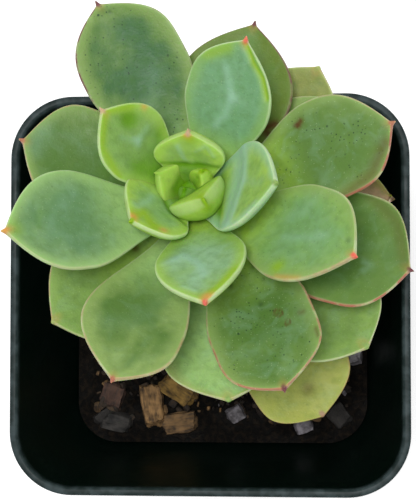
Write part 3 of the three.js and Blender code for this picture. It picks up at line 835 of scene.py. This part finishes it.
def line_distance(x, y, corners):
    """How far points are from a line of corners in the leaf's plane, all in millimetres."""
    near = np.full(x.shape, np.inf)
    for start, end in zip(corners, corners[1:] or corners):
        run = np.subtract(end, start)
        length = max(run @ run, 1e-9)
        share = np.clip(((x - start[0]) * run[0] + (y - start[1]) * run[1]) / length, 0, 1)
        away = np.hypot(x - start[0] - share * run[0], y - start[1] - share * run[1])
        near = np.minimum(near, away)
    return near


def leaf_features(age, leaf, u, s, c):
    """What a leaf's features add up to over its upper face, each fading with the square of the distance: the
    press and then the measures that its colours follow."""
    x = u * leaf["length"]
    y = s * half_width(leaf, u, s)
    total = np.zeros((1 + len(FEATURE_MEASURES), *u.shape))
    for kind, places, reach, strength in FEATURES.get(age, []):
        corners = [(a * leaf["length"], float(b * half_width(leaf, a, b))) for a, b in places]
        away = line_distance(x, y, corners)
        if kind == "ring":
            spread = np.exp(-(((away - reach) / RING_LINE) ** 2))
        else:
            spread = np.exp(-((away / reach) ** 2))
        total += np.array(EFFECTS[kind])[:, None, None] * strength * spread
    shown = np.clip(FACE_RISE * c, 0, 1) if age >= FIRST_LEAF else 1
    return np.clip(total, -1, 1) * shown


def leaf_piece(age, material, cad_node, name):
    """One leaf as a closed mesh, with the measures that its colours follow kept on its points."""
    leaf = leaf_of(age)
    u, s, c = leaf_grid(leaf)
    half = half_width(leaf, u, s)
    press, *measures = leaf_features(age, leaf, u, s, c)
    from_tip = (1 + leaf["spike"] / leaf["length"] - u) * leaf["length"]
    values = {
        "along": u,
        "across": s,
        "edge": (1 - np.abs(s)) * half,
        "tip": np.hypot(from_tip, TIP_NARROWING * s * half),
        **dict(zip(FEATURE_MEASURES, measures)),
    }
    tube(name, leaf_surface(leaf, u, s, c, press), material, [cad_node], values, LEAF_SHARP)


def make_leaves():
    """The leaves of every age from the youngest, without the fallen ones, each with its own look."""
    group = leaf_skin_group()
    for age in range(YOUNGEST, OLDEST + 1):
        if age in FALLEN:
            continue
        if age < FIRST_LEAF:
            cad_node, slot, name = "growing_tip", "young_leaf", f"bud_leaf_{age - YOUNGEST + 1}"
        elif age in ODD_LEAVES:
            cad_node, slot = f"leaf_{age:02d}_{ODD_LEAVES[age]}", f"{ODD_LEAVES[age]}_leaf"
            name = f"{cad_node}_skin"
        else:
            cad_node, slot = f"leaf_{age:02d}", "young_leaf" if age < FIRST_GROWN else "leaf"
            name = f"{cad_node}_skin"
        material = leaf_material(name, LOOKS.get(age, {}), group)
        leaf_piece(age, material, cad_node, name)


make_leaves()


# The pot.


def square_ring(half, corner, z):
    """A square outline with round corners, anticlockwise from above."""
    turns = np.radians(np.linspace(0, 90, CORNER_STEPS + 1) + 90 * np.arange(4)[:, None])
    middle = np.radians(45 + 90 * np.arange(4))[:, None]
    x = np.sign(np.cos(middle)) * (half - corner) + corner * np.cos(turns)
    y = np.sign(np.sin(middle)) * (half - corner) + corner * np.sin(turns)
    return np.stack([x.ravel(), y.ravel(), np.full(x.size, z)], axis=1)


def pot_half(z):
    """The pot's outer half width at a height, which grows evenly from its foot, without the lip."""
    return FOOT_WIDTH / 2 + z / POT_HEIGHT * (RIM_WIDTH / 2 - LIP_REACH - FOOT_WIDTH / 2)


def wall_ring(z, inward):
    """The pot's outline at a height, moved inwards from its outer face without the lip."""
    corner = FOOT_CORNER + z / POT_HEIGHT * (RIM_CORNER - LIP_REACH - FOOT_CORNER)
    return square_ring(pot_half(z) - inward, corner - inward, z)


def pot_profile():
    """Height and inward reach up the outside, over the round lip and down the inside to the floor."""
    lip_foot = POT_HEIGHT - LIP_DEPTH
    quarter = np.radians(np.linspace(0, 90, ROUND_STEPS))
    outer = [(EDGE_ROUND * (1 - math.sin(a)), EDGE_ROUND * (1 - math.cos(a))) for a in quarter[::-1]]
    sides = [(z, 0.0) for z in np.linspace(2, lip_foot, OUTSIDE_STEPS)]
    under = [(lip_foot + 0.15, -0.1), (lip_foot + 0.3, -0.3), (lip_foot + EDGE_ROUND + 0.1, -LIP_REACH)]
    crown = POT_HEIGHT - EDGE_ROUND
    over = [(crown + EDGE_ROUND * math.sin(a), -LIP_REACH + EDGE_ROUND * (1 - math.cos(a))) for a in quarter]
    inner = [(crown + EDGE_ROUND * math.cos(a), WALL - EDGE_ROUND * (1 - math.sin(a))) for a in quarter]
    down = [(z, WALL) for z in np.linspace(crown - 1, FLOOR + EDGE_ROUND, INSIDE_STEPS)]
    return outer + sides + under + over + inner + down + [(FLOOR, WALL + EDGE_ROUND)]


def pot_material():
    """Dark green moulded plastic: faint mould grain, a film of dust and dried drops, and a pale lip that is
    worn and carries a painted highlight.
    """
    material, tree, shader = new_material("pot_plastic")
    broad = noise(tree, 9.0, 3.0, 0.6)
    fine = noise(tree, 0.5, 3.0)
    height = node(tree, "ShaderNodeSeparateXYZ", {"Vector": place(tree)}).outputs["Z"]
    rim = ease(tree, height, (POT_HEIGHT - 1.2) * MM, (POT_HEIGHT - 0.1) * MM)
    dust = times(tree, ease(tree, broad, 0.4, 0.75), ease(tree, fine, 0.35, 0.7))
    # The pale lip is partly wear and partly a painted highlight along the rim.
    worn = times(tree, rim, ease(tree, noise(tree, 1.6, 4.0), 0.35, 0.7, 0.25, 0.75))
    splashes = dots(tree, 6.0, 0.5, 0.25)
    colour = mix(tree, times(tree, dust, 0.35), PLASTIC, PLASTIC_DUST)
    colour = mix(tree, worn, colour, PLASTIC_WORN_AND_LIT)
    colour = mix(tree, times(tree, splashes, 0.3), colour, PLASTIC_DUST)
    dress(tree, shader, colour, ease(tree, broad, 0.3, 0.8, 0.34, 0.55), fine, strength=0.12, depth_mm=0.1)
    shader.inputs["IOR"].default_value = 1.49
    shader.inputs["Specular IOR Level"].default_value = 0.1
    return material


def make_pot():
    """The shell carried round the profile, with four round drain holes cut through its floor."""
    rings = [wall_ring(z, inward) for z, inward in pot_profile()]
    shell = tube("pot_shell", rings, pot_material(), ["pot"], sharp=POT_SHARP)
    drills = bpy.data.meshes.new("drills")
    made = bmesh.new()
    radius = DRAIN_RADIUS * MM
    for x in (-DRAIN_OFFSET, DRAIN_OFFSET):
        for y in (-DRAIN_OFFSET, DRAIN_OFFSET):
            at = Matrix.Translation(Vector((x, y, FLOOR / 2)) * MM)
            bmesh.ops.create_cone(made, cap_ends=True, segments=DRAIN_SIDES, radius1=radius, radius2=radius,
                                  depth=3 * FLOOR * MM, matrix=at)
    made.to_mesh(drills)
    made.free()
    tool = bpy.data.objects.new("drills", drills)
    bpy.context.scene.collection.objects.link(tool)
    cut = shell.modifiers.new("drain_holes", "BOOLEAN")
    cut.operation = "DIFFERENCE"
    cut.object = tool
    cut.solver = "EXACT"
    bpy.context.view_layer.update()
    drilled = bpy.data.meshes.new_from_object(shell.evaluated_get(bpy.context.evaluated_depsgraph_get()))
    shell.modifiers.clear()
    shell.data = drilled
    drilled.set_sharp_from_angle(angle=math.radians(POT_SHARP))
    bpy.data.objects.remove(tool)


# The soil.


def soil_height(x, y, edge):
    """Low waves that die out at the wall, where edge is 0 at the wall and 1 inside."""
    waves = np.sin(0.55 * x + 1.3) * np.cos(0.62 * y)
    waves = waves + 0.7 * np.sin(1.25 * x - 0.85 * y + 0.7) + 0.5 * np.cos(1.9 * y + 0.6 * x)
    return SOIL_TOP + SOIL_ROUGHNESS * waves * edge


# The part's own draw of numbers: each state is the last one times a factor, less whole multiples of a prime.
DRAW_FACTOR = 16807
DRAW_PRIME = 2147483647


def draws(seed):
    """The part's own seeded draw of numbers from 0 to 1."""
    state = seed
    while True:
        state = state * DRAW_FACTOR % DRAW_PRIME
        yield state / DRAW_PRIME


# The chips that show in front of the plant: x, y, length, width and height, turn, and kind.
PLACED_CHIPS = [
    (-17.0, -15.3, (5.0, 4.2, 3.4), 70, "rosy"),
    (-10.9, -16.7, (8.4, 4.2, 3.4), 98, "tan"),
    (-6.5, -19.4, (6.8, 4.0, 3.0), 8, "tan"),
    (-6.7, -14.4, (7.4, 4.6, 3.0), -35, "golden"),
    (-16.4, -19.3, (6.2, 3.8, 3.6), -18, "grey"),
    (20.4, -8.6, (3.6, 4.6, 5.0), 4, "white"),
    (12.7, -19.9, (4.0, 3.0, 2.6), 15, "white"),
    (18.2, -18.2, (4.4, 3.6, 3.2), -50, "grey"),
    (2.3, -18.0, (3.6, 3.0, 2.6), 30, "white"),
]

# The chips drawn from the seed: their kinds in turn, and the least and the spread of their length, width and
# height in millimetres.
SCATTERED_KINDS = ("brown", "brown", "rosy", "brown", "grey")
SCATTERED_SIZES = ((2.4, 2.8), (1.8, 1.2), (2.2, 0.8))

# The kinds of chip: the finish's name, the dark and the light colour, the size of the grain in millimetres,
# its stretch along and across a chip, and the strength of its bump.
FIBRES = (0.35, 1.6, 1.2)
EVEN = (1.0, 1.0, 1.0)
CHIP_KINDS = {
    "rosy": ("rosy_bark", (30, 19, 16), (86, 62, 50), 0.5, FIBRES, 0.6),
    "tan": ("tan_bark", (56, 40, 22), (166, 128, 82), 0.5, FIBRES, 0.6),
    "golden": ("golden_bark", (62, 46, 18), (158, 124, 62), 0.5, FIBRES, 0.6),
    "brown": ("brown_bark", (20, 16, 12), (70, 54, 38), 0.5, FIBRES, 0.6),
    "grey": ("grey_bark", (16, 15, 14), (60, 57, 54), 0.5, FIBRES, 0.6),
    "white": ("perlite", (84, 80, 82), (190, 184, 192), 0.4, EVEN, 0.5),
}


def cube_grid(steps):
    """Points on the six faces of a cube from -1 to 1, and their four-cornered faces, pointing outwards."""
    t = np.linspace(-1, 1, steps)
    a, b = np.meshgrid(t, t, indexing="ij")
    one = np.ones_like(a)
    sheets = []
    for axis in range(3):
        for way in (-1, 1):
            parts = [None, None, None]
            parts[axis] = way * one
            parts[(axis + 1) % 3] = a if way > 0 else b
            parts[(axis + 2) % 3] = b if way > 0 else a
            sheets.append(np.stack(parts, axis=-1).reshape(-1, 3))
    i, j = np.meshgrid(np.arange(steps - 1), np.arange(steps - 1), indexing="ij")
    here = (i * steps + j).ravel()
    quad = np.stack([here, here + steps, here + steps + 1, here + 1], axis=1)
    faces = np.concatenate([quad + k * steps * steps for k in range(6)])
    return np.concatenate(sheets), faces


def turned(angles):
    """The turn about X, then Y, then Z of the piece's own axes, in the order of the part's source."""
    ax, ay, az = angles
    about_x = np.array([[1, 0, 0], [0, math.cos(ax), -math.sin(ax)], [0, math.sin(ax), math.cos(ax)]])
    about_y = np.array([[math.cos(ay), 0, math.sin(ay)], [0, 1, 0], [-math.sin(ay), 0, math.cos(ay)]])
    about_z = np.array([[math.cos(az), -math.sin(az), 0], [math.sin(az), math.cos(az), 0], [0, 0, 1]])
    return about_x @ about_y @ about_z


# A chip's shape: how much of it is worn to a ball, the ball's reach, and the size and depth of its grain and
# of its pits.
CHIP_ROUND = 0.4
BALL_REACH = 0.42
GRAIN_SIZE = 0.5
GRAIN_DEPTH = 0.07
PIT_SIZE = 0.9
PIT_DEPTH = 0.13


def chip_points(x, y, size, turn, draw, cube, seed):
    """A block with no two corners alike and worn edges: the cube's points blended between eight drawn
    corners, pulled towards a ball, and roughened with lumps along the grain. Returns the points in place and
    the points before they were turned."""
    shares = np.array([1 - CHIP_WEAR * next(draw) for _ in range(8)])
    signs = np.array([(sx, sy, sz) for sz in (-1, 1) for sy in (-1, 1) for sx in (-1, 1)], float)
    top = np.where(signs[:, 2] > 0, CHIP_TOP, 1.0)
    high = CHIP_LOWEST + (1 - CHIP_LOWEST) * shares
    corners = signs * np.stack([shares * top, shares[::-1], high], axis=1) * np.array(size) / 2
    weight = np.prod((1 + cube[:, None, :] * signs[None]) / 2, axis=2)
    ball = cube / np.linalg.norm(cube, axis=1)[:, None] * np.array(size) * BALL_REACH
    worn = (1 - CHIP_ROUND) * (weight @ corners) + CHIP_ROUND * ball
    grain = lumps(worn * np.array(FIBRES), GRAIN_SIZE, seed)
    pits = lumps(worn, PIT_SIZE, seed + 5)
    worn = worn * (1 + GRAIN_DEPTH * grain + PIT_DEPTH * pits)[:, None]
    tilt = [math.radians(CHIP_TILT * (next(draw) - 0.5)) for _ in range(2)]
    placed = worn @ turned([*tilt, math.radians(turn)]).T
    return placed + np.array([x, y, SOIL_TOP + CHIP_LIFT * size[2]]), worn


def rock_material(name, dark, light, grain_size, stretch, bump_strength):
    """Rough chips or grains: two colours in streaks along each piece's own grain, and each piece darker by
    its tint.
    """
    material, tree, shader = new_material(name)
    own = node(tree, "ShaderNodeAttribute", attribute_name="own").outputs["Vector"]
    stretched = node(tree, "ShaderNodeMapping", {"Vector": own, "Scale": stretch}).outputs["Vector"]
    streaks = noise(tree, grain_size, 4.0, 0.5, stretched)
    patches = noise(tree, 1.5, 2.0)
    shade = ease(tree, plus(tree, times(tree, streaks, 0.6), patches), 0.5, 1.1)
    colour = mix(tree, shade, linear(dark), linear(light))
    colour = mix(tree, ease(tree, attribute(tree, "tint"), 0.0, 1.0, 0.65, 0.0), colour, PIT_BLACK)
    rough = ease(tree, streaks, 0.2, 0.8, 0.75, 0.95)
    dress(tree, shader, colour, rough, streaks, bump_strength, depth_mm=0.3)
    return material


def soil_material():
    """Damp dark potting mix: near black with brown fibres and paler crumbs."""
    material, tree, shader = new_material("soil_mix")
    crumbs = noise(tree, 0.8, 5.0, 0.3)
    patches = noise(tree, 4.0, 2.0)
    colour = mix(tree, ease(tree, crumbs, 0.4, 0.75), SOIL_DARK, SOIL_BROWN)
    colour = mix(tree, ease(tree, patches, 0.45, 0.8, 0.0, 0.5), colour, SOIL_DARK)
    dress(tree, shader, colour, ease(tree, patches, 0.3, 0.7, 0.75, 0.95), crumbs, strength=0.8, depth_mm=0.6)
    shader.inputs["Specular IOR Level"].default_value = 0.15
    return material


# The crumbs in the soil's own surface, coarse and fine: their height and size in millimetres and their seed.
COARSE_CRUMBS = (0.35, 1.4, 2.0)
FINE_CRUMBS = (0.2, 0.7, 5.0)


def soil_surface():
    """The soil's closed body: rings shrink from the wall to the middle, with waves and crumbs on top."""
    gap = WALL + CLEARANCE
    low = wall_ring(FLOOR + CLEARANCE, gap + EDGE_ROUND)
    rings = [low, wall_ring(FLOOR + 1.2, gap), wall_ring(SOIL_TOP - 4, gap)]
    rim = wall_ring(SOIL_TOP, gap)
    share = np.linspace(1, 0.02, SOIL_RINGS)[:, None]
    x, y = rim[:, 0] * share, rim[:, 1] * share
    edge = np.minimum(1, WAVE_RISE * (1 - share))
    flat = np.stack([x, y, np.zeros_like(x)], axis=-1)
    coarse, fine = (height * lumps(flat, size, seed) for height, size, seed in (COARSE_CRUMBS, FINE_CRUMBS))
    z = soil_height(x, y, edge) + (coarse + fine) * np.minimum(1, 0.3 + 12 * (1 - share)) - 0.1
    top = np.stack([x, y, z], axis=-1)
    return rings + list(top)


# The loose crumbs on the soil: name, how many, the draw's seed, the least and the largest size in
# millimetres, kind, and how far their middles are above the soil as a share of their height.
CRUMBS = [
    ("dark_crumbs", 700, 3, (0.5, 2.0), "brown", 0.15),
    ("bark_crumbs", 140, 5, (0.7, 2.2), "tan", 0.15),
    ("perlite_crumbs", 46, 8, (0.5, 1.5), "white", 0.3),
]

# A crumb's shape: the least and the largest length, width and height as shares of its size, how much of it
# is a ball and how much a block, the size and depth of its lumps, and how far it keeps from the rim.
LEAST_CRUMB = (0.8, 0.5, 0.4)
LARGEST_CRUMB = (1.3, 0.9, 0.7)
CRUMB_BALL = 0.6
CRUMB_BLOCK = 0.35
CRUMB_LUMP = 0.7
CRUMB_DEPTH = 0.18
CRUMB_FROM_RIM = 8


def scatter(count, seed, sizes, reach):
    """Places, shapes, turns and tints of crumbs over the soil, from a seeded draw, most of them small."""
    rng = np.random.default_rng(seed)
    low, high = sizes
    at = rng.uniform(-reach, reach, (count, 2))
    size = low + (high - low) * rng.uniform(0, 1, (count, 1)) ** 2
    shape = size * rng.uniform(LEAST_CRUMB, LARGEST_CRUMB, (count, 3))
    angles = rng.uniform(0, 2 * math.pi, (count, 3))
    return at, shape, angles, rng.uniform(0, 1, count)


def blocks(name, points, own, tint, faces, material):
    """Many blocks in one mesh, each with its tint and with its points before they were turned, which its
    grain follows."""
    count, corners = points.shape[:2]
    quads = (faces[None] + corners * np.arange(count)[:, None, None]).reshape(-1, 4)
    values = {"tint": np.repeat(tint, corners), "own": own.reshape(-1, 3) * MM}
    build(name, points.reshape(-1, 3), [quads], material, ["soil"], values, CHIP_SHARP)


def loose_crumbs(name, count, seed, sizes, lift, material):
    """Many small worn blocks: one cube's points, half pulled to a ball, shaped, turned and laid on the soil
    at each place."""
    cube, faces = cube_grid(4)
    soft = cube / np.linalg.norm(cube, axis=1)[:, None] * CRUMB_BALL + cube * CRUMB_BLOCK
    reach = RIM_WIDTH / 2 - CRUMB_FROM_RIM
    at, shape, angles, tint = scatter(count, seed, sizes, reach - 1)
    turns = np.stack([turned(a) for a in angles])
    own = soft[None] * shape[:, None] / 2
    rough = lumps(soft[None] + 7 * at[:, None, :1], CRUMB_LUMP, seed)
    own = own * (1 + CRUMB_DEPTH * rough)[..., None]
    points = np.einsum("nij,nkj->nki", turns, own)
    edge = np.minimum(1, WAVE_RISE * (1 - np.abs(at).max(1) / reach))
    z = soil_height(at[:, 0], at[:, 1], edge) + lift * shape[:, 2]
    points = points + np.concatenate([at, z[:, None]], axis=1)[:, None]
    blocks(name, points, own, tint, faces, material)


def make_chips(materials):
    """The placed chips first and then the scattered ones, in the order of the part's own draw."""
    cube, faces = cube_grid(11)
    draw = draws(CHIP_SEED)
    made = []
    for x, y, size, turn, kind in PLACED_CHIPS:
        made.append((kind, chip_points(x, y, size, turn, draw, cube, len(made))))
    reach = pot_half(SOIL_TOP) - WALL - CHIP_FROM_WALL
    foot = stem_at_height(SOIL_TOP)
    while len(made) < len(PLACED_CHIPS) + SCATTERED_CHIPS:
        x, y = reach * (2 * next(draw) - 1), reach * (2 * next(draw) - 1)
        size = [least + spread * next(draw) for least, spread in SCATTERED_SIZES]
        turn = 360 * next(draw)
        if math.hypot(x - foot[0], y - foot[1]) > CHIP_FROM_STEM:
            kind = SCATTERED_KINDS[len(made) % len(SCATTERED_KINDS)]
            made.append((kind, chip_points(x, y, size, turn, draw, cube, len(made))))
    kinds = {}
    for kind, chip in made:
        kinds.setdefault(kind, []).append(chip)
    for kind, members in kinds.items():
        points, own = (np.stack(parts) for parts in zip(*members))
        tint = 0.5 + 0.5 * np.sin(2.4 * np.arange(len(members)) + 1.0)
        blocks(f"{kind}_chips", points, own, tint, faces, materials[kind])


def stem_at_height(z):
    """The stem's line where it passes a height, found on a fine table of its points."""
    share = np.linspace(0, 1, 2000)
    line = stem_point(share)
    return line[np.argmin(np.abs(line[:, 2] - z))]


def make_soil():
    """The bed of potting mix, the chips in it and the loose crumbs on it."""
    tube("soil_bed", soil_surface(), soil_material(), ["soil"])
    materials = {kind: rock_material(*finish) for kind, finish in CHIP_KINDS.items()}
    make_chips(materials)
    for name, count, seed, sizes, kind, lift in CRUMBS:
        loose_crumbs(name, count, seed, sizes, lift, materials[kind])


# The stem.


def stem_material():
    """Green-brown bark with pale crescents where leaves have dropped."""
    material, tree, shader = new_material("stem_bark")
    rings = noise(tree, 0.6, 3.0, 0.5)
    patches = noise(tree, 2.5, 2.0)
    colour = mix(tree, ease(tree, patches, 0.35, 0.7), linear("tan"), linear("olive"))
    colour = mix(tree, ease(tree, rings, 0.45, 0.75, 0.0, 0.5), colour, linear("umber"))
    colour = mix(tree, attribute(tree, "scar"), colour, linear("sand"))
    dress(tree, shader, colour, ease(tree, rings, 0.2, 0.8, 0.6, 0.85), rings, strength=0.6, depth_mm=0.3)
    return material


# The stem's mesh and its crescents: the line's length in millimetres, the size and depth of the bark's lumps,
# how wide a crescent is in radians, and its height, its lift and its bend in millimetres.
STEM_STEPS = 110
STEM_SIDES = 56
STEM_LENGTH = 56
BARK_LUMP = 0.8
BARK_DEPTH = 0.02
SCAR_WIDTH = 0.75
SCAR_HEIGHT = 0.45
SCAR_LIFT = 0.25
SCAR_BEND = 0.5
DOME_RINGS = 20
DOME_SINK = 0.6


def make_stem():
    """A round rod along the stem's line, thinner towards the tip, with a raised crescent where each old leaf
    was or is."""
    t = np.linspace(0, STEM_END, STEM_STEPS)
    angle = np.linspace(0, 2 * math.pi, STEM_SIDES, endpoint=False)
    _, out, left = directions(0.5, 0)
    radius = STEM_RADIUS_LOW + (STEM_RADIUS_TOP - STEM_RADIUS_LOW) * t
    share, turn = np.meshgrid(t, angle, indexing="ij")
    scar = np.zeros_like(share)
    for age in range(OLDEST - 6, OLDEST + 14):
        leaf = leaf_of(age)
        away = (turn - math.radians(leaf["turn"]) + math.pi) % (2 * math.pi) - math.pi
        up = (share - leaf["share"]) * STEM_LENGTH + SCAR_BEND * away**2
        scar = np.maximum(scar, np.exp(-((away / SCAR_WIDTH) ** 4) - (up / SCAR_HEIGHT) ** 2))
    around = np.stack([3 * np.cos(turn), 3 * np.sin(turn), STEM_LENGTH * share], axis=-1)
    swell = radius[:, None] * (1 + BARK_DEPTH * lumps(around, BARK_LUMP, 4.0)) + SCAR_LIFT * scar
    rim = swell[..., None] * (np.cos(turn)[..., None] * out + np.sin(turn)[..., None] * left)
    points = stem_point(t)[:, None] + rim
    tube("stem_bark", points, stem_material(), ["stem"], {"scar": scar})
    make_dome(angle)


def make_dome(angle):
    """The stem's round end, which the youngest leaves grow from: a ball by its height and its turn."""
    up, around = np.meshgrid(np.linspace(-0.5, 0.5, DOME_RINGS)[1:-1] * math.pi, angle[::2], indexing="ij")
    along, out, left = directions(1.0, 0)
    middle = STEM_TIP - DOME_SINK * STEM_RADIUS_TOP * along
    outward = (np.cos(up) * np.cos(around))[..., None] * out
    sideways = (np.cos(up) * np.sin(around))[..., None] * left
    dome = middle + STEM_RADIUS_TOP * (outward + sideways + np.sin(up)[..., None] * along)
    poles = np.stack([middle - STEM_RADIUS_TOP * along, middle + STEM_RADIUS_TOP * along])
    points = np.concatenate([dome.reshape(-1, 3), poles])
    inside = {"along": 0.3, "across": 0.0, "edge": 4.0, "tip": 9.0}
    values = {key: np.full(len(points), number) for key, number in inside.items()}
    skin = leaf_material("growing_dome", LOOKS[YOUNGEST], bpy.data.node_groups["leaf_skin"])
    build("growing_dome", points, tube_faces(*up.shape), skin, ["growing_tip"], values)


make_pot()
make_soil()
make_stem()


def make_stage():
    """A plain pale floor and soft white light from all round and from above on the left."""
    mesh = bpy.data.meshes.new("floor")
    corners = FLOOR_REACH * np.array([(-1, -1, 0), (1, -1, 0), (1, 1, 0), (-1, 1, 0)])
    mesh.from_pydata(corners.tolist(), [], [(0, 1, 2, 3)])
    material, _, shader = new_material("floor")
    shader.inputs["Base Color"].default_value = (FLOOR_GREY, FLOOR_GREY, FLOOR_GREY, 1)
    shader.inputs["Roughness"].default_value = 0.9
    shader.inputs["Emission Color"].default_value = (1, 1, 1, 1)
    shader.inputs["Emission Strength"].default_value = FLOOR_GLOW
    mesh.materials.append(material)
    floor = bpy.data.objects.new("floor", mesh)
    bpy.context.scene.collection.objects.link(floor)
    world = bpy.data.worlds.new("studio")
    world.use_nodes = True
    sky = world.node_tree.nodes["Background"]
    sky.inputs["Color"].default_value = (1, 1, 1, 1)
    sky.inputs["Strength"].default_value = SKY_STRENGTH
    bpy.context.scene.world = world
    soft_light("key_light", KEY_AT, KEY_SIZE, KEY_POWER)
    bpy.context.scene.view_settings.view_transform = "Standard"


def soft_light(name, at, size, power):
    """A square area light at a place in metres, turned to the middle of the plant."""
    data = bpy.data.lights.new(name, "AREA")
    data.size = size
    data.energy = power
    light = bpy.data.objects.new(name, data)
    bpy.context.scene.collection.objects.link(light)
    light.location = at
    towards = Vector(CAMERA_TOWARDS) * MM - Vector(at)
    light.rotation_euler = towards.to_track_quat("-Z", "Y").to_euler()


make_stage()
